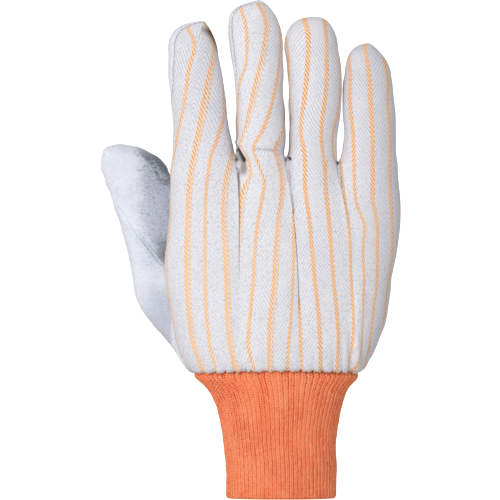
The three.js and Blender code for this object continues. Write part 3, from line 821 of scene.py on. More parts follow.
def twill_clearness(name, numbers, length):
    """How clear the twill is over a strip of the cloth."""
    clear = at(CLEARNESS, numbers)
    lower, middle, upper = CLEAR_HEIGHTS
    clearness = mix(clear["low"], clear["middle"], smooth((length - lower) / (middle - lower)))
    clearness = mix(clearness, clear["high"], smooth((length - middle) / (upper - middle)))
    if name == "middle":
        clearness[HAND_ROWS:HAND_ROWS + 2] = 0
    return clearness


def strip_maps(part, on_hand, on_finger):
    """A strip's stripe number and length up the cloth, the twill's phase in millimetres and
    the stripe's lean, how clear the twill and the stripe's second line are, and how strong
    the painted shade in its creases and its shaded places is."""
    name = part["limb"]["name"]
    z = part["points"][..., 2]
    crown = sine(part["angle"], FINGER_SQUARENESS)
    length = z + TIP_OVER * (1 - crown) * np.sin(part["turn"])[:, None]
    numbers = np.concatenate([on_hand, on_finger])
    rise = [zigzag(on_hand, *HAND_LEANS[name]), zigzag(on_finger, *FINGER_LEANS[name])]
    phase = length - TWILL_SLOPE * np.concatenate(rise)
    nearest = np.round(numbers)
    lean = np.where(np.isin(nearest, RIGHT_LEANING), 1, -1)
    second = sum(strength * (nearest == number) for number, strength in SECOND_LINES.items())
    clearness = twill_clearness(name, numbers, length)
    first = FIRST_STRIPES[name] - EDGE_STRIPE
    for fold in FOLDED_AWAY:
        first = first + fold["share"] * window(z, *fold["heights"]) * (fold["finger"] == name)
    numbers = np.maximum(numbers, first)
    values = (numbers, length, phase, lean, clearness, second, part["crease"], part["shade"])
    return np.stack(values, axis=-1)


def give_cloth_maps(parts):
    index, middle, ring, little = parts
    hands = [
        *hand_numbers([index], INDEX_STRIPES, 1),
        *hand_numbers([middle], MIDDLE_STRIPES, 6),
        *hand_numbers([ring, little], RING_STRIPES | LITTLE_STRIPES, 10),
    ]
    fingers = [
        finger_numbers(index, INDEX_STRIPES, 1),
        finger_numbers(middle, MIDDLE_STRIPES, 5),
        finger_numbers(ring, RING_STRIPES, 10),
        finger_numbers(little, LITTLE_STRIPES, 13),
    ]
    for part, on_hand, on_finger in zip(parts, hands, fingers):
        part["maps"] = strip_maps(part, on_hand, on_finger)


# Folds, darts and puckers of the cloth and the leather

# Unevenness of the back and of the palm side
BACK_WAVES = ((0.32, 46, 12), (0.13, 15, 22))
PALM_WAVES = ((0.32, 46, 11), (0.13, 15, 21))
# Ridges and grooves along a seam, and the painted shade in its groove: height, distance from the seam and
# half width
SEAM_SWELL = (0.3, 0, 4.0)
SEAM_GROOVE = (-0.6, 0, 0.9)
SEAM_DARK = (0.5, 0, 0.45)
NO_SEAM = 99.0               # stands for the distance where a strip's edge has no seam
# Round a crotch the seam's groove closes, and its painted shade is paler
CROTCH_REACH = 3.5
CROTCH_PALER = 0.9
OUTER_SIDES = 50.0           # further out there is no crotch
# The hem: how high its puckers stand, and how far its edge is turned in
PUCKER_HEIGHT = 1.1
HEM_TURN = {"reach": 2.2, "depth": 1.3}
# The darts sewn down from the crotches beside the middle finger, and the soft valley beside
# the little finger. line holds the heights where the sharp line starts, is full, is full
# still and ends; soft is the depth of the wide hollow round it; dark is the strength of the
# painted shade along the sharp line, whose half width is DART_DARK.
DARTS = (
    {"left_strip": 0, "line": (112, 132, 172, 178), "sharp": 0.2, "soft": 0.8, "width": 4.2, "dark": 0.8},
    {"left_strip": 1, "line": (96, 106, 150, 158), "sharp": 0.3, "soft": 0.9, "width": 4.6, "dark": 0.9},
    {"left_strip": 2, "line": (150, 182, 190, 200), "sharp": 0.2, "soft": 0.7, "width": 4.0, "dark": 0.15},
)
DART_START = 62.0            # height where a dart's wide hollow starts
DART_RISE = 40.0
DART_LINE = 0.6              # half width of the sharp line
DART_DARK = 0.22             # half width of its dark
# Streaks of painted shade where a finger's edge turns in to its seam
STREAKS = (
    {"strip": 0, "right": True, "heights": (236, 240, 248.5, 252.5), "wide": 5.8, "dark": 1.0},
    {"strip": 1, "right": False, "heights": (183, 187, 202, 206), "wide": 4.6, "dark": 0.9},
    {"strip": 2, "right": False, "heights": (179, 183, 202, 206), "wide": 6.0, "dark": 0.8},
    {"strip": 2, "right": False, "heights": (203, 207, 240, 244), "wide": 4.6, "dark": 0.3},
)
# Places on the back: painted shade beside and below the hanging fold and in the next crotch,
# the pinched corner of that crotch, and the pinch above the hem, each pinch with painted shade
# in its middle. at is x and z, half the half width and height, edges how steeply the place ends
# each way; crease and shade are the strengths of the painted shade.
PLACES = (
    {"at": (-20.3, 176.2), "half": (2.1, 4.0), "edges": (4, 4), "relief": -0.6, "shade": 0.9},
    {"at": (-23.0, 181.6), "half": (1.6, 1.8), "edges": (4, 4), "shade": 0.6},
    {"at": (4.4, 174.0), "half": (2.0, 6.5), "edges": (4, 4), "shade": 0.25},
    {"at": (4.5, 180.6), "half": (0.8, 0.8), "edges": (2, 2), "relief": -0.8},
    {"at": (4.6, 180.8), "half": (0.85, 0.8), "edges": (4, 2), "crease": 1.8},
    {"at": (-19.0, 68.3), "half": (2.0, 3.2), "edges": (2, 2), "relief": -1.4},
    {"at": (-18.9, 68.2), "half": (0.5, 1.1), "edges": (2, 2), "crease": 0.7},
)
# The fold that hangs below the middle finger's left edge, over a short deep hollow that is
# wider at its lower end and holds a painted shadow (dark)
FOLD = {
    "start": (-23.7, 187.2), "end": (-20.2, 180.2), "half": (0.6, 1.1),
    "deep": 1.3, "soft_edge": 0.3, "dark": 1.9, "hangs": (0.6, 2.4, 1.5),
}
# Upright folds from the hem towards the little finger: the heights they reach over, and each
# one's height, x and half width
UPRIGHT_FOLDS = (
    {"heights": (62, 76, 104, 124), "ridge": (0.5, 41.2, 2.4)},
    {"heights": (62, 70, 72, 98), "ridge": (1.2, 40.0, 1.7)},
    {"heights": (62, 70, 72, 98), "ridge": (-1.2, 36.8, 1.4)},
)
# Creases across the foot of the middle finger and across the index finger, with the swelling
# above each; the middle finger's crease has a painted line of shade (dark), whose half width
# is CROSS_DARK
INDEX_WIDTH = (-99, -98, -48, -40)
CROSS_CREASES = (
    {
        "across": (-16, -12, -5.5, -1.5), "at": (-9, 185.4), "slant": -0.04,
        "deep": 0.9, "half": 0.7, "dark": 0.4, "above": (0.5, 3.4, 3.2),
    },
    {"across": INDEX_WIDTH, "at": (-52, 223), "slant": 0.2, "deep": 0.24, "half": 1.2},
    {"across": INDEX_WIDTH, "at": (-52, 214), "slant": -0.1, "deep": 0.3, "half": 1.2},
    {"across": INDEX_WIDTH, "at": (-52, 206), "slant": 0.3, "deep": 0.22, "half": 1.2},
)
CROSS_DARK = 0.5             # half width of a crease's dark line


def ridge(x, height, middle, half):
    return height * bump_at(x, middle, half)


def uneven(points, waves):
    """The sum of several ripples, each given as height, wavelength and seed."""
    return sum(height * ripple(points, wavelength, seed) for height, wavelength, seed in waves)


def from_edge(part, right):
    """Length along each row from the strip's left or right edge."""
    arc = arc_lengths(part["points"])
    return arc[:, -1:] - arc if right else arc


def from_line(x, z, start, end):
    """Distance from a line between two points, above it positive, and the share along it."""
    run, rise = end[0] - start[0], end[1] - start[1]
    share = ((x - start[0]) * run + (z - start[1]) * rise) / math.hypot(run, rise) ** 2
    share = np.clip(share, 0, 1)
    away = np.hypot(x - start[0] - share * run, z - start[1] - share * rise)
    return away * np.sign((z - start[1]) * run - (x - start[0]) * rise), share


def add(part, **amounts):
    """Adds to a strip's relief, creases or shade."""
    for name, amount in amounts.items():
        part[name] = part[name] + amount


def add_seams(part, x, z):
    """A groove along each seam, with painted shade in it, and swollen cloth beside it."""
    left, right = from_edge(part, False), from_edge(part, True)
    if part["k"] > 0:
        left[:HAND_ROWS] = NO_SEAM
    if part["k"] < LAST_FINGER:
        right[:HAND_ROWS] = NO_SEAM
    seam = np.minimum(left, right)
    at_crotch = bump_at(z, crotch_z(x), CROTCH_REACH) * (np.abs(x) < OUTER_SIDES)
    add(part, relief=ridge(seam, *SEAM_SWELL) + (1 - at_crotch) * ridge(seam, *SEAM_GROOVE))
    add(part, crease=(1 - CROTCH_PALER * at_crotch) * ridge(seam, *SEAM_DARK))


def add_hem(part, x, z):
    """Puckers that fade out above the hem, and the hem's turned edge."""
    pucker, reach = gathers(x, HEM_SEED + 1 - part["back"])
    turned = rounded_off(z - HEM_Z - hem_rise(x, HEM_Z), **HEM_TURN)
    add(part, relief=PUCKER_HEIGHT * pucker * np.exp(-(z - HEM_Z) / reach) - turned)


def add_darts_and_streaks(part, z):
    in_hand = (np.arange(len(z)) <= HAND_ROWS)[:, None]
    # Each dart is a hollow with painted shade along its sharp line; each streak is painted shade alone
    for dart in DARTS:
        if part["k"] - dart["left_strip"] in (0, 1):
            aside = from_edge(part, part["k"] == dart["left_strip"])
            shown = in_hand * window(z, *dart["line"])
            lasting = in_hand * smooth((z - DART_START) / DART_RISE)
            sharp = dart["sharp"] * shown * bump_at(aside, 0, DART_LINE, 1)
            soft = dart["soft"] * lasting * bump_at(aside, 0, dart["width"])
            add(part, relief=-sharp - soft, crease=dart["dark"] * shown * bump_at(aside, 0, DART_DARK))
    for streak in STREAKS:
        if part["k"] == streak["strip"]:
            aside = from_edge(part, streak["right"])
            shown = ~in_hand * window(z, *streak["heights"])
            add(part, crease=streak["dark"] * shown * bump_at(aside, 0, streak["wide"], 4))


def add_places(part, x, z):
    for place in PLACES:
        across = bump_at(x, place["at"][0], place["half"][0], place["edges"][0])
        shown = across * bump_at(z, place["at"][1], place["half"][1], place["edges"][1])
        add(part, **{name: place.get(name, 0.0) * shown for name in ("relief", "crease", "shade")})


def add_folds(part, x, z):
    away, share = from_line(x, z, FOLD["start"], FOLD["end"])
    half = mix(*FOLD["half"], share)
    hollow = FOLD["deep"] * bump_at(away, 0, half + FOLD["soft_edge"])
    add(part, relief=ridge(away, *FOLD["hangs"]) * (part["k"] == 1) - hollow)
    add(part, crease=FOLD["dark"] * bump_at(away, 0, half))
    for fold in UPRIGHT_FOLDS:
        add(part, relief=window(z, *fold["heights"]) * ridge(x, *fold["ridge"]))
    for crease in CROSS_CREASES:
        shown = window(x, *crease["across"])
        level = z - crease["at"][1] - crease["slant"] * (x - crease["at"][0])
        above = ridge(level, *crease.get("above", (0, 0, 1)))
        add(part, relief=shown * (above - crease["deep"] * bump_at(level, 0, crease["half"], 1)))
        add(part, crease=shown * crease.get("dark", 0.0) * bump_at(level, 0, CROSS_DARK))


def give_relief(part):
    """Gives a strip its relief, how far it stands out of the plain form, and how strong the
    painted shade in its creases and its shaded places is."""
    x, z = part["points"][..., 0], part["points"][..., 2]
    part["relief"] = uneven(part["points"], BACK_WAVES if part["back"] else PALM_WAVES)
    part["crease"] = part["shade"] = np.zeros_like(x)
    add_seams(part, x, z)
    add_hem(part, x, z)
    if part["back"]:
        add_darts_and_streaks(part, z)
        add_places(part, x, z)
        add_folds(part, x, z)
    part["crease"] = np.clip(part["crease"], 0, 1)
    part["shade"] = np.clip(part["shade"], 0, 1)


# Meshes that are cut and joined

def mesh_arrays(made):
    mesh = made.data
    points = np.empty(len(mesh.vertices) * 3)
    mesh.vertices.foreach_get("co", points)
    edges = np.empty(len(mesh.edges) * 2, int)
    mesh.edges.foreach_get("vertices", edges)
    return points.reshape(-1, 3) / MM, edges.reshape(-1, 2)


def ring_surface(grid):
    """A welded surface of a grid whose columns close round: points and triangles."""
    points = grid.reshape(-1, 3)
    kept, place = weld(points)
    welded = place[grid_corners(grid.shape[:2], 0, closed=True)]
    return points[kept], welded[still_whole(welded)]


def moved(points, normals, distance):
    return points + normals * np.asarray(distance)[..., None]


def capped(points, triangles):
    """A closed solid: the surface with a flat fan across its open end."""
    rim = rim_edges(triangles, len(points))
    hub = points[rim[:, 0]].mean(axis=0)
    fan = np.stack([rim[:, 1], rim[:, 0], np.full(len(rim), len(points))], 1)
    return np.concatenate([points, [hub]]), np.concatenate([triangles, fan])


def trimmed_wall(outer, inner, triangles):
    """A closed wall on some of a surface's triangles."""
    used = np.unique(triangles)
    number = np.zeros(len(outer), int)
    number[used] = np.arange(len(used))
    return wall(outer[used], inner[used], number[triangles])


def combine(kept, other, operation):
    """Joins the other solid to the kept one, or cuts it out, and removes the other."""
    modifier = kept.modifiers.new("combine", "BOOLEAN")
    modifier.operation = operation
    modifier.solver = "MANIFOLD"
    modifier.object = other
    evaluated = kept.evaluated_get(bpy.context.evaluated_depsgraph_get())
    combined = bpy.data.meshes.new_from_object(evaluated)
    kept.modifiers.clear()
    kept.data = combined
    kept.data.shade_smooth()
    bpy.data.objects.remove(other)


def tree_of(points, triangles):
    return BVHTree.FromPolygons(points.tolist(), triangles.tolist())


def distances(points, tree, reach):
    """Each point's distance to a surface, or reach where it is further away."""
    found = np.full(len(points), reach)
    for i, point in enumerate(points.tolist()):
        distance = tree.find_nearest(Vector(point), reach)[3]
        if distance is not None:
            found[i] = distance
    return found


def ease_junction(made, trees):
    """Smooths a joined mesh where all the surfaces it was joined from come together."""
    points, edges = mesh_arrays(made)
    far = np.max([distances(points, tree, EASE_REACH) for tree in trees], axis=0)
    weight = smooth(1 - far / EASE_REACH)[:, None] / 2
    count = np.bincount(edges.ravel(), minlength=len(points))[:, None]
    for _ in range(EASE_ROUNDS):
        total = np.zeros_like(points)
        np.add.at(total, edges[:, 0], points[edges[:, 1]])
        np.add.at(total, edges[:, 1], points[edges[:, 0]])
        points += weight * (total / count - points)
    made.data.vertices.foreach_set("co", (points * MM).ravel())
    made.data.update()


# The thumb

SEAM_SQUARE = 0.72           # a height above the thumb's seam, measured square to the seam
HALVINGS = 30                # to find where the seam crosses a line up the thumb
THUMB_WAVES = ((0.3, 34, 41), (0.22, 11, 42), (0.07, 4.5, 43))
# The ridge between the thumb's two flat faces, by its x and how it leans right below a height.
# The forms of the ridge and of the hollow to its right are height, distance from the ridge and
# half width. They fade near the thumb's side, its seam and its top.
THUMB_RIDGE = {"x": -75.5, "lean": 0.2, "below": 155.0, "top": 190.0}
RIDGE_FORM = (0.9, 0, 4.4)
HOLLOW_FORM = (-1.3, 11.0, 7.4)
SIDE_FADE = 4.0
SEAM_FADE = 5.0
TOP_FADE = 12.0
# Beside the thumb's seam: a roll above it and its groove, both stronger towards the hand, and
# a roll below it
NEAR_HAND = {"x": -82.0, "reach": 10.0}
UPPER_ROLL = {"heights": (0.3, 0.8), "above": 0.8, "half": 0.8}
GROOVE = {"heights": (-0.5, -1.0), "above": -0.3, "half": 0.4}
LOWER_ROLL = (0.3, -2.4, 1.6)


def thumb_seam_rise(points):
    """How far points lie above the thumb's seam."""
    return (points[..., 2] - at(THUMB_SEAM, points[..., 0])["z"]) * SEAM_SQUARE


def thumb_shaft(level, turn):
    """Points of the thumb's shaft. turn runs round it from the right over the back."""
    section = at(THUMB["shaft"], level)
    left, right = section["left"], section["right"]
    edge = np.where(np.cos(turn) < 0, left, right)
    x = mix((left + right) / 2, edge, rounded(np.cos(turn), FINGER_SQUARENESS))
    out = np.where(np.sin(turn) > 0, -section["back"], section["palm"])
    side = mix(section["leftY"], section["rightY"], (x - left) / (right - left))
    return np.stack([x, side + out * sine(turn, FINGER_SQUARENESS), level], axis=-1)


def thumb_grid():
    """The thumb from inside the palm to its tip, as closed rings of points. One ring lies on
    its seam."""
    turn = 2 * math.pi * np.arange(THUMB_COLUMNS) / THUMB_COLUMNS
    low = np.full(THUMB_COLUMNS, first_of(THUMB))
    high = np.full(THUMB_COLUMNS, last_of(THUMB))
    for _ in range(HALVINGS):
        middle = (low + high) / 2
        above = thumb_seam_rise(thumb_shaft(middle, turn)) > 0
        low, high = np.where(above, low, middle), np.where(above, middle, high)
    seam = (low + high) / 2
    root_share = 1 - (1 - np.linspace(0, 1, ROOT_ROWS + 1)[:, None]) ** ROOT_CROWDING
    upper_share = np.linspace(0, 1, THUMB_ROWS + 1)[1:, None] ** THUMB_CROWDING
    root, upper = mix(first_of(THUMB), seam, root_share), mix(seam, last_of(THUMB), upper_share)
    shaft = thumb_shaft(np.concatenate([root, upper]), turn)
    angle = np.arctan2(np.sin(turn), np.abs(np.cos(turn)))
    sides = np.where(np.cos(turn) < 0, -1, 1)[None, :]
    return np.concatenate([shaft, tip_rows(THUMB, TIP_TURNS, angle, sides)])


def thumb_relief(points):
    """How far the thumb's leather stands out of its plain form."""
    x, y, z = points.T
    rise = thumb_seam_rise(points)
    section = at(THUMB["shaft"], np.minimum(z, last_of(THUMB)))
    across = (x - section["left"]) / (section["right"] - section["left"])
    level = mix(section["leftY"], section["rightY"], across)
    on_back = smooth((level - y) / SIDE_FADE) * smooth(rise / SEAM_FADE)
    on_back = on_back * smooth((THUMB_RIDGE["top"] - z) / TOP_FADE)
    aside = x - THUMB_RIDGE["x"] - THUMB_RIDGE["lean"] * np.maximum(0, THUMB_RIDGE["below"] - z)
    near_hand = smooth((x - NEAR_HAND["x"]) / NEAR_HAND["reach"])
    relief = uneven(points, THUMB_WAVES) + ridge(rise, *LOWER_ROLL)
    relief = relief + on_back * (ridge(aside, *RIDGE_FORM) + ridge(aside, *HOLLOW_FORM))
    for form in (UPPER_ROLL, GROOVE):
        relief = relief + ridge(rise, mix(*form["heights"], near_hand), form["above"], form["half"])
    return relief


# The pieces of cloth and leather

BLEND = 9.0                  # reach of the rounding where the thumb leaves the palm
SWELL_END = 6.0              # the rounding ends this far above the thumb's seam
EASE_REACH = 4.0
EASE_ROUNDS = 24
HAND_CUT = 0.8               # the thumb's root is cut away this far inside the palm's surface
THUMB_GAP = 0.15             # between the thumb leather and the palm

back_parts = [strip(k, True) for k in range(len(FINGERS))]
palm_parts = [strip(k, False) for k in range(len(FINGERS))]
give_normals(back_parts + palm_parts)
for part in back_parts + palm_parts:
    give_relief(part)
give_cloth_maps(back_parts)
for part in palm_parts:
    part["maps"] = np.zeros((*part["angle"].shape, MAPS))


def cloth_piece():
    points, triangles, maps, normals, relief = sheet_surface(back_parts)
    inner = moved(points, normals, relief - CLOTH_WALL)
    walled, faces = wall(moved(points, normals, relief), inner, triangles)
    by_point = np.zeros((len(points), MAPS))
    by_point[triangles.ravel()] = maps.reshape(-1, MAPS)
    edge = faces[2 * len(triangles):] % len(points)
    values = np.concatenate([maps, maps[:, ::-1], by_point[edge]])
    named = {name: values[..., 2 * i:2 * i + 2] for i, name in enumerate(CLOTH_MAPS)}
    made = mesh_object("back_cloth_visual", walled, faces, named)
    inside = np.zeros(len(faces), np.int32)
    inside[len(triangles):2 * len(triangles)] = 1
    made.data.polygons.foreach_set("material_index", inside)
    return made


def full_hand(distance):
    """A closed solid of the hand and the fingers, moved out by distance."""
    points, triangles, _, normals, relief = sheet_surface(back_parts + palm_parts)
    return mesh_object("hand", *capped(moved(points, normals, relief + distance), triangles))


def swollen(points, tree):
    """How far a surface swells towards another one that comes near it."""
    return (BLEND - distances(points, tree, BLEND)) ** 2 / (4 * BLEND)


def leather_pieces():
    """The palm with the thumb's root below its seam, and the thumb above it."""
    palm_points, palm_faces, _, palm_normals, palm_relief = sheet_surface(palm_parts)
    thumb_points, thumb_faces = ring_surface(thumb_grid())
    thumb_faces, thumb_normals = facing_out(thumb_points, thumb_faces)
    relief = thumb_relief(thumb_points)

    palm_plain = moved(palm_points, palm_normals, palm_relief)
    thumb_plain = moved(thumb_points, thumb_normals, relief)
    palm_relief = palm_relief + swollen(palm_plain, tree_of(thumb_plain, thumb_faces))
    below_seam = smooth(1 - thumb_seam_rise(thumb_points) / SWELL_END)
    relief = relief + swollen(thumb_plain, tree_of(palm_plain, palm_faces)) * below_seam

    low = thumb_seam_rise(thumb_points[thumb_faces].mean(axis=1)) < 0
    outer = moved(thumb_points, thumb_normals, relief)
    inner = moved(thumb_points, thumb_normals, relief - LEATHER_WALL)
    root = mesh_object("root", *trimmed_wall(outer, inner, thumb_faces[low]))
    upper = mesh_object("thumb_leather_visual", *trimmed_wall(outer, inner, thumb_faces[~low]))
    palm_outer = moved(palm_points, palm_normals, palm_relief)
    palm_inner = moved(palm_points, palm_normals, palm_relief - LEATHER_WALL)
    palm = mesh_object("palm_leather_visual", *wall(palm_outer, palm_inner, palm_faces))

    combine(palm, mesh_object("hollow", *capped(inner, thumb_faces)), "DIFFERENCE")
    combine(root, full_hand(-HAND_CUT), "DIFFERENCE")
    combine(upper, full_hand(THUMB_GAP), "DIFFERENCE")
    combine(palm, root, "UNION")
    ease_junction(palm, [tree_of(palm_outer, palm_faces), tree_of(outer, thumb_faces)])
    return palm, upper


# The knit

EVEN_HEIGHT = 16.0           # where the ribs are spaced evenly round the wrist
ROUND_STEPS = 4001
# The ribs' slight sway, by ripples over a plain cylinder
SWAY = {"size": 0.0011, "wavelength": 26, "seed": 51, "radius": 30.0, "rise": 0.5}
KNIT_WAVES = ((0.35, 30, 52), (0.12, 9, 53))
RIB_DEPTH = 0.67
HALF_RIB_DEPTH = 0.27
RIB_ROUNDNESS = 0.75
INNER_RIB_DEPTH = 0.3
LOWER_EDGE = {"reach": 1.4, "depth": 0.9}
SWELL_START = 10.0           # below this height the knit swells less
HEM_FOLLOWS = 0.35           # how far the knit follows the hem's puckers
FOLLOW_REACH = 4.0


def knit_turns(z, share):
    """The angle of every point, spaced evenly round the wrist but for a slight sway."""
    dense = np.linspace(0, 2 * math.pi, ROUND_STEPS)
    base = at(KNIT, EVEN_HEIGHT)
    across = rounded(np.cos(dense), KNIT_SQUARENESS) * np.sign(np.cos(dense))
    out = rounded(np.sin(dense), KNIT_SQUARENESS) * np.sign(np.sin(dense))
    path = np.stack([across * (base["right"] - base["left"]) / 2, out * base["back"]], 1)
    length = arc_lengths(path[None])[0]
    round_wrist = 2 * math.pi * share
    flat = np.stack([np.cos(round_wrist), np.sin(round_wrist)], 1) * SWAY["radius"]
    place = np.empty((len(z), len(share), 3))
    place[..., :2] = flat
    place[..., 2] = z[:, None] * SWAY["rise"]
    sway = SWAY["size"] * ripple(place, SWAY["wavelength"], SWAY["seed"])
    return np.interp((share + sway) % 1.0, length / length[-1], dense)


def knit_grid(z, turn):
    section = column(at(KNIT, z))
    c, s = np.cos(turn), np.sin(turn)
    middle = (section["right"] + section["left"]) / 2
    half = (section["right"] - section["left"]) / 2
    x = middle + np.sign(c) * rounded(c, KNIT_SQUARENESS) * half
    depth = np.where(s > 0, section["palm"], section["back"])
    y = np.sign(s) * rounded(s, KNIT_SQUARENESS) * depth
    return np.stack([x, y, np.broadcast_to(z[:, None], x.shape)], -1)


def knit_piece():
    """A tube of ribs: rows up the wrist, RIB_COLUMNS points across each rib."""
    share = np.arange(RIBS * RIB_COLUMNS) / (RIBS * RIB_COLUMNS)
    z = np.linspace(0, KNIT_TOP_Z, KNIT_ROWS + 1)
    plain = knit_grid(z, knit_turns(z, share))

    rib = np.abs(np.sin(math.pi * share * RIBS)) ** RIB_ROUNDNESS
    half_rib = np.abs(np.cos(math.pi * share * RIBS)) ** RIB_ROUNDNESS
    swell = uneven(plain, KNIT_WAVES)
    scallop, _ = gathers(plain[-1, :, 0], HEM_SEED)
    near_hem = bump_at(z, HEM_Z, FOLLOW_REACH, 1)[:, None]
    relief = RIB_DEPTH * (rib - 1) + HALF_RIB_DEPTH * (half_rib - 1)
    relief = relief + swell * smooth(z / SWELL_START)[:, None] + HEM_FOLLOWS * near_hem * scallop
    relief = relief - rounded_off(z, **LOWER_EDGE)[:, None]
    inner_relief = swell - KNIT_WALL + INNER_RIB_DEPTH * (1 - rib)

    points = plain.reshape(-1, 3)
    corners, normals = facing_out(points, grid_corners(plain.shape[:2], 0, closed=True))
    outer = moved(points, normals, relief.ravel())
    walled, faces = wall(outer, moved(points, normals, inner_relief.ravel()), corners)

    number = np.broadcast_to(share * RIBS, plain.shape[:2]).ravel()
    values = np.stack([number, points[:, 2]], 1)[faces % len(points)]
    lap = np.ptp(values[..., 0], axis=1) > RIBS / 2
    values[lap, :, 0] += np.where(values[lap, :, 0] < RIBS / 2, RIBS, 0)
    return mesh_object("knit_wrist_visual", walled, faces, {"ribs": values})


# Stitches

STITCH_SIDES = 6
# Rings along a stitch: the share along it, the width and the lift, in radii
STITCH_RINGS = (
    (0.0, 0.15, -0.5), (0.12, 0.8, -0.1), (0.5, 1.0, 0.35), (0.88, 0.8, -0.1), (1.0, 0.15, -0.5),
)
NEARBY = 0.3                 # how far along a path its direction is taken
SEAM_STITCH = {"length": 1.5, "gap": 1.1, "radius": 0.2}
HEM_STITCH = {"length": 1.7, "gap": 1.4, "radius": 0.3}
# The rows with stitches on the fingers and on the hand's two sides
FINGER_STITCHED = slice(HAND_ROWS + 9, None)
SIDE_STITCHED = slice(4, HAND_ROWS + 4)
HEM_STITCH_OUT = 0.2
HEM_STITCH_UP = np.array([0, 0, 0.1])


def path_values(values, lengths, where):
    return np.array([np.interp(where, lengths, values[:, i]) for i in range(3)])


def stitch_ring(path, outward, lengths, where, wide, lift):
    """One ring of points round a thread that lies at a length along a path."""
    ahead = path_values(path, lengths, where + NEARBY)
    along = ahead - path_values(path, lengths, where - NEARBY)
    along /= np.linalg.norm(along)
    aside = np.cross(along, path_values(outward, lengths, where))
    aside /= np.linalg.norm(aside)
    up = np.cross(aside, along)
    turns = (2 * math.pi * np.arange(STITCH_SIDES) / STITCH_SIDES)[:, None]
    around = np.cos(turns) * aside + np.sin(turns) * up
    return path_values(path, lengths, where) + up * lift + around * wide


def stitches(name, paths, length, gap, radius):
    """One mesh of short threads along paths. A path is points and their outward directions."""
    grids = []
    for path, outward in paths:
        lengths = arc_lengths(path[None])[0]
        for start in np.arange(gap, lengths[-1] - length - gap, length + gap):
            grids.append([
                stitch_ring(path, outward, lengths, start + share * length, radius * wide, radius * lift)
                for share, wide, lift in STITCH_RINGS
            ])
    shape = (len(STITCH_RINGS), STITCH_SIDES)
    size = shape[0] * shape[1]
    faces = [grid_corners(shape, i * size, closed=True) for i in range(len(grids))]
    return mesh_object(name, np.array(grids).reshape(-1, 3), np.concatenate(faces))


def seam_path(part, edge, rows):
    """A line along a strip's edge or row, moved with the cloth's relief."""
    lowered = moved(part["points"], part["normals"], part["relief"])
    return lowered[rows, edge], part["normals"][rows, edge]


def finger_seams():
    paths = [seam_path(part, edge, FINGER_STITCHED) for part in back_parts for edge in (0, -1)]
    for part, edge in ((back_parts[0], 0), (back_parts[-1], -1)):
        paths.append(seam_path(part, edge, SIDE_STITCHED))
    return paths


def hem_path():
    """The hem all round the wrist, just outside the cloth and the leather."""
    rows = [seam_path(part, slice(None, -1), 0) for part in back_parts]
    rows += [seam_path(part, slice(None, 0, -1), 0) for part in palm_parts[::-1]]
    line, outward = (np.concatenate(values) for values in zip(*rows))
    return [(moved(line, outward, HEM_STITCH_OUT) + HEM_STITCH_UP, outward)]


# Materials

class Value:
    """A number in a material, which is reckoned with like any other number."""

    def __init__(self, graph, socket):
        self.graph = graph
        self.socket = socket

    def __add__(self, other):
        return self.graph.math("ADD", self, other)

    def __sub__(self, other):
        return self.graph.math("SUBTRACT", self, other)

    def __rsub__(self, other):
        return self.graph.math("SUBTRACT", other, self)

    def __mul__(self, other):
        return self.graph.math("MULTIPLY", self, other)

    __radd__ = __add__
    __rmul__ = __mul__


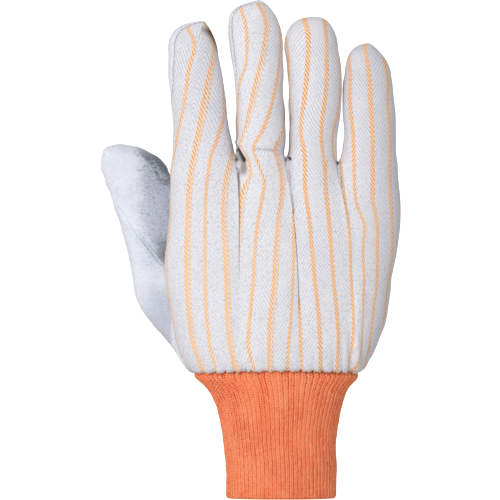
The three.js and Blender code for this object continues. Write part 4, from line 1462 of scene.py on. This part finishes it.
class Graph:
    """A small wrapper that makes a material's nodes read as a formula."""

    def __init__(self, name, colour, roughness):
        self.material = bpy.data.materials.new(name)
        self.material.use_nodes = True
        self.material.diffuse_color = (*colour, 1)
        self.nodes = self.material.node_tree.nodes
        self.links = self.material.node_tree.links
        self.inputs = self.nodes["Principled BSDF"].inputs
        self.inputs["Base Color"].default_value = (*colour, 1)
        self.inputs["Roughness"].default_value = roughness

    def put(self, socket, value):
        if isinstance(value, Value):
            self.links.new(value.socket, socket)
        else:
            socket.default_value = value

    def math(self, operation, *values):
        node = self.nodes.new("ShaderNodeMath")
        node.operation = operation
        for socket, value in zip(node.inputs, values):
            self.put(socket, value)
        return Value(self, node.outputs[0])

    def larger(self, a, b):
        return self.math("MAXIMUM", a, b)

    def wave(self, length, pitch):
        return self.math("SINE", length * (2 * math.pi / pitch))

    def ramp(self, value, low, high, to_low=0.0, to_high=1.0):
        """A smooth step from to_low at low to to_high at high."""
        node = self.nodes.new("ShaderNodeMapRange")
        node.interpolation_type = "SMOOTHSTEP"
        limits = {"From Min": low, "From Max": high, "To Min": to_low, "To Max": to_high}
        for name, number in limits.items():
            node.inputs[name].default_value = number
        self.put(node.inputs["Value"], value)
        return Value(self, node.outputs["Result"])

    def window(self, value, low, full, still, high):
        """1 from full to still, falling smoothly to 0 at low and at high."""
        return self.ramp(value, low, full) * self.ramp(value, high, still)

    def blend(self, share, a, b):
        """The colour that is a share of the way from a to b."""
        node = self.nodes.new("ShaderNodeMix")
        node.data_type = "RGBA"
        self.put(node.inputs[0], share)
        self.put(node.inputs[6], a if isinstance(a, Value) else (*a, 1))
        self.put(node.inputs[7], b if isinstance(b, Value) else (*b, 1))
        return Value(self, node.outputs[2])

    def layered(self, colour, *layers):
        """A colour with others laid over it, each as its share and its colour."""
        for share, layer in layers:
            colour = self.blend(share, colour, layer)
        return colour

    def split(self, socket):
        node = self.nodes.new("ShaderNodeSeparateXYZ")
        self.links.new(socket, node.inputs[0])
        return [Value(self, output) for output in node.outputs]

    def map_values(self, name):
        uv = self.nodes.new("ShaderNodeUVMap")
        uv.uv_map = name
        return self.split(uv.outputs[0])[:2]

    def place(self):
        return self.nodes.new("ShaderNodeTexCoord").outputs["Object"]

    def noise(self, scale, detail=3.0, roughness=0.55, stretch=(1, 1, 1)):
        """Noise with features about 1/scale metres across."""
        node = self.nodes.new("ShaderNodeTexNoise")
        node.inputs["Scale"].default_value = scale
        node.inputs["Detail"].default_value = detail
        node.inputs["Roughness"].default_value = roughness
        mapping = self.nodes.new("ShaderNodeMapping")
        mapping.inputs["Scale"].default_value = stretch
        self.links.new(self.place(), mapping.inputs["Vector"])
        self.links.new(mapping.outputs[0], node.inputs["Vector"])
        return Value(self, node.outputs["Fac"])

    def finish(self, colour, height, depth, strength, sheen=0.0):
        """Sets the colour, the bump, which is depth metres high, and the soft sheen."""
        self.put(self.inputs["Base Color"], colour)
        self.inputs["Sheen Weight"].default_value = sheen
        node = self.nodes.new("ShaderNodeBump")
        node.inputs["Strength"].default_value = strength
        node.inputs["Distance"].default_value = depth
        self.put(node.inputs["Height"], height)
        self.links.new(node.outputs[0], self.inputs["Normal"])
        return self.material


def srgb(red, green, blue):
    """A linear colour from screen values of 0 to 255, each above 10."""
    return tuple(((value / 255 + 0.055) / 1.055) ** 2.4 for value in (red, green, blue))


COTTON = srgb(232, 231, 234)
TWILL_GREY = srgb(160, 160, 176)
STRIPE = srgb(238, 170, 98)
STRIPE_DEEP = srgb(226, 132, 60)
STRIPE_PALE = srgb(244, 194, 126)
STRIPE_GAP = srgb(242, 224, 202)
# Painted shade, in the cloth's creases and dark lines and in its shaded places
CREASE_SHADE = srgb(56, 46, 44)
SHADE = srgb(150, 132, 126)
FLANNEL = srgb(232, 228, 220)
FLANNEL_PALE = srgb(238, 235, 228)
FLANNEL_DARK = srgb(208, 203, 194)
# Greys of the suede; the darker ones also carry the painted shade on the thumb and the painted shadow near
# the cloth
LEATHER = srgb(223, 226, 236)
LEATHER_DARK = srgb(170, 175, 190)
LEATHER_FIBRE_AND_SHADE = srgb(140, 145, 160)
LEATHER_SHADE = srgb(88, 91, 103)
ORANGE = srgb(255, 141, 93)
ORANGE_PALE = srgb(255, 178, 130)
ORANGE_DEEP = srgb(236, 80, 42)
ORANGE_DARK = srgb(186, 38, 18)
CREAM = srgb(236, 226, 206)
THREAD = srgb(168, 168, 176)
THREAD_DARK = srgb(90, 88, 90)

# The cloth's weave, in millimetres
TWILL_PITCH = 2.75           # up the cloth, from one line of the twill to the next
DASH_PITCH = 2.54            # of a stripe's overlapping threads
DASH_SLOPE = 1.75            # their rise for each millimetre across
STRIPE_HALF = (0.9, 1.08)    # of the stripes by the thumb and by the little finger
STRIPE_FRAY = 0.12
SECOND_ASIDE = 1.85          # the thinner line of a double stripe, to the right of the main one
SECOND_HALF = 0.42
LINE_EDGE = 0.2              # how soft a stripe's edge is
WANDER = 0.5                 # how far the threads wander


def stripe_lines(g, number, aside, frayed, doubled):
    """Where the stripes and their second lines are, from a stripe's middle outwards."""
    half = g.ramp(number, 6, 10, *STRIPE_HALF) + frayed
    main = g.ramp(g.math("ABSOLUTE", aside) - half, -LINE_EDGE, LINE_EDGE, 1, 0)
    beside = g.math("ABSOLUTE", aside - SECOND_ASIDE) - frayed
    second = g.ramp(beside, SECOND_HALF - LINE_EDGE, SECOND_HALF + LINE_EDGE, 1, 0)
    return g.larger(main, second * doubled)


def striped_cotton():
    """Off-white twill with soil and wear. A stripe is a rope of slanting threads with pale gaps."""
    g = Graph("striped_cotton", COTTON, 0.95)
    number, length = g.map_values("stripes")
    phase, lean = g.map_values("weave")
    clearness, doubled = g.map_values("wear")
    crease, shade = g.map_values("creases")
    fine = g.noise(1500, 2, 0.7)
    speckle = g.noise(1250, 2, 0.8)
    patches = g.noise(45, 3)
    wander = (g.noise(240, 2) - 0.5) * WANDER
    wave = g.wave(phase + wander, TWILL_PITCH)

    aside = (number - g.math("ROUND", number)) * STRIPE_PITCH
    dash_wave = g.wave(length + wander - aside * lean * DASH_SLOPE, DASH_PITCH)
    dashes = g.ramp(dash_wave, -0.7, 0.05)
    lines = stripe_lines(g, number, aside, dash_wave * STRIPE_FRAY, doubled)

    twill = g.ramp(wave, -0.8, 0.4, 1.0, 0.0) * g.ramp(fine, 0.3, 0.6, 0.5, 1.0)
    twill = twill * clearness * g.ramp(patches, 0.3, 0.7, 0.4, 0.8)
    grain = g.ramp(speckle, 0.48, 0.7) * (0.75 - clearness * 0.35)
    # A little grey over all the cloth, and painted shade towards the thumb's side and towards the little
    # finger's side
    tone_and_side_shade = g.ramp(number, 2, 6, 0.14, 0.06) + g.ramp(number, 12, 14.5, 0.0, 0.16)
    base = g.layered(COTTON, (tone_and_side_shade, TWILL_GREY), (twill, TWILL_GREY), (grain, TWILL_GREY))

    faded = g.ramp(number, 4, 10, 0.55, 0.15) * g.ramp(length, 120, 190, 1.0, 0.3)
    faded = faded + g.ramp(patches, 0.4, 0.7, 0.0, 0.2)
    thread = g.layered(STRIPE, (g.ramp(fine, 0.35, 0.65), STRIPE_DEEP), (faded, STRIPE_PALE))
    stripe = g.blend(dashes, STRIPE_GAP, thread)
    # The stripes, then painted shade in the shaded places and in the creases
    coloured = g.layered(base, (lines, stripe), (shade, SHADE), (crease, CREASE_SHADE))
    height = wave * clearness * 0.5 + fine + lines * dashes * 0.8
    return g.finish(coloured, height, depth=0.00016, strength=0.7, sheen=0.15)


def flannel():
    """The cloth's soft inner face."""
    g = Graph("cotton_flannel", FLANNEL, 1.0)
    nap = g.noise(1100, 3, 0.7)
    colour = g.blend(g.ramp(nap, 0.3, 0.7), FLANNEL_PALE, FLANNEL_DARK)
    return g.finish(colour, nap, depth=0.0004, strength=0.6, sheen=0.3)


# The regions of the leather, in metres. The thumb's two flat faces: the right one is rougher
# and carries painted shade, darkest past a slanting edge and in the corner between the seam and
# the cloth, with painted shadow where it nears the cloth.
FRONT = {"x": 0.24, "z": 0.18, "range": (0.0145, 0.0105)}
THUMB_SIDE = (-0.0575, -0.0595)
RIGHT_FACE = (-0.0795, -0.069)
FACE_HEIGHTS = (0.112, 0.14, 0.195, 0.202)
FACE_UNEVEN = 0.006
UPPER_EDGE = {"lean": 0.875, "uneven": 0.022, "range": (0.1132, 0.1185)}
UPPER_ACROSS = (-0.0815, -0.0675)
CORNER_ACROSS = (-0.068, -0.062)
CORNER_HEIGHTS = (0.125, 0.129, 0.134, 0.141)
NEAR_CLOTH = (-0.073, -0.06)
# The thumb's root, below the seam, which carries painted shade
ROOT_HEIGHTS = (0.05, 0.07, 0.104, 0.118)
ROOT_ACROSS = (-0.078, -0.064)
ROOT_FRONT = (0.018, 0.009)


def leather_regions(g, mottle, fibres):
    """Where painted shade lies on the thumb: its right face, its part near the cloth, its root, its dark
    edges.
    """
    x, y, z = g.split(g.place())
    on_back = g.ramp(y - x * FRONT["x"] - z * FRONT["z"], *FRONT["range"]) * g.ramp(x, *THUMB_SIDE)
    rough_edge = mottle + fibres - 1.0
    across = x + rough_edge * FACE_UNEVEN
    upper = on_back * g.window(z, *FACE_HEIGHTS)
    face = g.ramp(across, *RIGHT_FACE) * upper
    up_right = x * UPPER_EDGE["lean"] + z + rough_edge * UPPER_EDGE["uneven"]
    dark_edge = g.ramp(up_right, *UPPER_EDGE["range"]) * upper * g.ramp(across, *UPPER_ACROSS, 0, 0.95)
    corner = g.ramp(across, *CORNER_ACROSS) * g.window(z, *CORNER_HEIGHTS) * on_back * 0.65
    near_cloth = g.ramp(across, *NEAR_CLOTH) * face
    root = g.window(z, *ROOT_HEIGHTS) * g.ramp(x, *ROOT_ACROSS) * on_back * g.ramp(y, *ROOT_FRONT)
    return face, near_cloth, root, g.larger(dark_edge, corner)


def split_leather():
    """Pale grey suede with mottled nap, and painted shade on the thumb's right face, root and edges."""
    g = Graph("split_leather", LEATHER, 0.92)
    nap = g.noise(1500, 3, 0.75)
    fibres = g.noise(900, 4, 0.7, stretch=(0.7, 0.7, 1.3))
    mottle = g.noise(110, 4, 0.6)
    face, near_cloth, root, dark = leather_regions(g, mottle, fibres)
    rough = face * 0.55 + root * 0.2 + 0.2
    # Over the suede's mottle: painted shade on the right face, the root and the dark edges, and painted
    # shadow near the cloth; over these, the suede's own fibres and nap
    shade = g.layered(
        LEATHER,
        (g.ramp(mottle, 0.4, 0.75, 0.0, 0.2), LEATHER_DARK),
        (face * 0.35, LEATHER_DARK),
        (near_cloth * 0.25, LEATHER_FIBRE_AND_SHADE),
        (root * 0.6, LEATHER_DARK),
        (dark, LEATHER_SHADE),
        (g.ramp(fibres, 0.5, 0.66) * rough, LEATHER_FIBRE_AND_SHADE),
        (g.ramp(nap, 0.52, 0.72) * rough * 0.7, LEATHER_SHADE),
        (g.ramp(nap, 0.46, 0.3) * rough, LEATHER),
    )
    return g.finish(shade, nap * 0.6 + fibres, depth=0.0005, strength=0.6, sheen=0.25)


# The knit's loops
LOOP_PITCH = 1.24            # up the knit
LOOP_SLANT = 1.8             # how far a loop's legs rise from a rib's edge to its middle
LOOP_SHAKE = 0.35            # how far the ribs' lines wander, in ribs


def orange_knit():
    """Each rib is a chain of loops, a V at every stitch, between grooves with painted shade."""
    g = Graph("orange_knit", ORANGE, 0.95)
    number, length = g.map_values("ribs")
    fine = g.noise(1500, 3, 0.7)
    fuzz = g.noise(600, 3, 0.65)
    patches = g.noise(80, 3)
    patchy_groove_shade = g.ramp(g.noise(130, 2, stretch=(1, 1, 0.3)), 0.38, 0.62, 0.6, 1.6)
    across = g.math("FRACT", number + (g.noise(420, 2) - 0.5) * LOOP_SHAKE)
    crown = g.math("SINE", across * math.pi)
    groove = g.ramp(crown, 0.05, 0.6, 0.95, 0.0)
    lines = g.larger(groove, g.ramp(crown, 0.8, 0.97, 0.0, 0.42))
    loop = g.wave(length + g.math("ABSOLUTE", across - 0.5) * LOOP_SLANT, LOOP_PITCH)
    rows = g.ramp(loop, -0.25, 0.45)

    # The grooves are darkened by painted shade, stronger in some patches than in others
    seen = g.ramp(fuzz, 0.36, 0.54, 0.34, 1.0) * patchy_groove_shade
    shade = g.layered(
        ORANGE,
        (g.ramp(patches, 0.35, 0.65, 0.0, 0.4), ORANGE_PALE),
        (g.ramp(fine, 0.45, 0.65, 0.0, 0.7), ORANGE_PALE),
        (rows * g.ramp(fine, 0.35, 0.6, 0.6, 0.1), ORANGE_DEEP),
        (lines * g.ramp(fuzz, 0.3, 0.65, 0.15, 0.7) * patchy_groove_shade, ORANGE_DEEP),
        (lines * rows * seen, ORANGE_DARK),
    )
    g.inputs["Specular IOR Level"].default_value = 0.35
    g.inputs["Sheen Tint"].default_value = (*ORANGE, 1)
    return g.finish(shade, loop * 0.5 + fine + fuzz, depth=0.0003, strength=0.7, sheen=0.2)


def thread_material(name, colour):
    """Thread that is darker in its twist."""
    g = Graph(name, colour, 0.85)
    twist = g.noise(2500, 2)
    shade = g.blend(g.ramp(twist, 0.3, 0.7, 0, 0.4), colour, THREAD_DARK)
    return g.finish(shade, twist, depth=0.0001, strength=0.5)


def clothe(made, *materials):
    """Gives a piece its materials, in the order in which its faces are numbered."""
    for material in materials:
        made.data.materials.append(material)


cloth = cloth_piece()
palm, thumb = leather_pieces()
knit = knit_piece()
seam_thread = stitches("seam_stitches", finger_seams(), **SEAM_STITCH)
hem_thread = stitches("hem_stitches", hem_path(), **HEM_STITCH)
clothe(cloth, striped_cotton(), flannel())
leather = split_leather()
for made in (palm, thumb):
    made.data.materials.clear()
    clothe(made, leather)
clothe(knit, orange_knit())
clothe(seam_thread, thread_material("grey_thread", THREAD))
clothe(hem_thread, thread_material("cream_thread", CREAM))

PIECES = {
    "back_cloth": (cloth, "striped_cotton"),
    "palm_leather": (palm, "split_leather"),
    "thumb_leather": (thumb, "split_leather"),
    "knit_wrist": (knit, "orange_knit"),
}
for node, (made, slot) in PIECES.items():
    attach(made, "root")
    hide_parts(node)
for made in (seam_thread, hem_thread):
    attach(made, "root")


# The stage: a pale floor below the glove, a white backdrop far behind it, soft lights

VIEW_CENTRE = (-16.5, 132.2)    # x and z
VIEW_WIDTH = 266.6
CAMERA_BACK = 2500.0
SENSOR = 36.0
FLOOR_CORNERS = [(-1.5, -1.7, -0.05), (1.5, -1.7, -0.05), (1.5, 0.8, -0.05), (-1.5, 0.8, -0.05)]
BACKDROP_CORNERS = [(-5, 6, -4), (5, 6, -4), (5, 6, 5), (-5, 6, 5)]
GLOVE_MIDDLE = (-0.01, 0, 0.13)
AMBIENT_LIGHT = 0.385


def stage_plane(name, corners, colour, glow):
    mesh = bpy.data.meshes.new(name)
    mesh.from_pydata(corners, [], [(0, 1, 2, 3)])
    g = Graph(name, colour, 0.8)
    g.inputs["Emission Color"].default_value = (1, 1, 1, 1)
    g.inputs["Emission Strength"].default_value = glow
    mesh.materials.append(g.material)
    made = bpy.data.objects.new(name, mesh)
    bpy.context.collection.objects.link(made)


def area_light(name, place, size, power):
    light = bpy.data.objects.new(name, bpy.data.lights.new(name, "AREA"))
    light.data.shape = "SQUARE"
    light.data.size = size
    light.data.energy = power
    light.location = place
    way = Vector(GLOVE_MIDDLE) - Vector(place)
    light.rotation_euler = way.to_track_quat("-Z", "Y").to_euler()
    bpy.context.collection.objects.link(light)


stage_plane("floor", FLOOR_CORNERS, srgb(235, 235, 236), 0.0)
stage_plane("backdrop", BACKDROP_CORNERS, srgb(250, 250, 250), 1.0)
area_light("key", (-0.8, -1.9, 1.05), 0.9, 28.6)
area_light("fill", (1.4, -1.6, 0.5), 1.4, 4.7)
area_light("side", (-2.2, -0.5, 0.4), 1.2, 5.5)

camera = bpy.data.objects.new("camera", bpy.data.cameras.new("camera"))
camera.location = (VIEW_CENTRE[0] * MM, -CAMERA_BACK * MM, VIEW_CENTRE[1] * MM)
camera.rotation_euler = (math.pi / 2, 0, 0)
camera.data.sensor_width = SENSOR
camera.data.lens = SENSOR * CAMERA_BACK / VIEW_WIDTH
bpy.context.collection.objects.link(camera)
bpy.context.scene.camera = camera

world = bpy.data.worlds.new("world")
world.use_nodes = True
background = world.node_tree.nodes["Background"]
background.inputs["Color"].default_value = (1, 1, 1, 1)
background.inputs["Strength"].default_value = AMBIENT_LIGHT
bpy.context.scene.world = world
bpy.context.scene.view_settings.view_transform = "Standard"
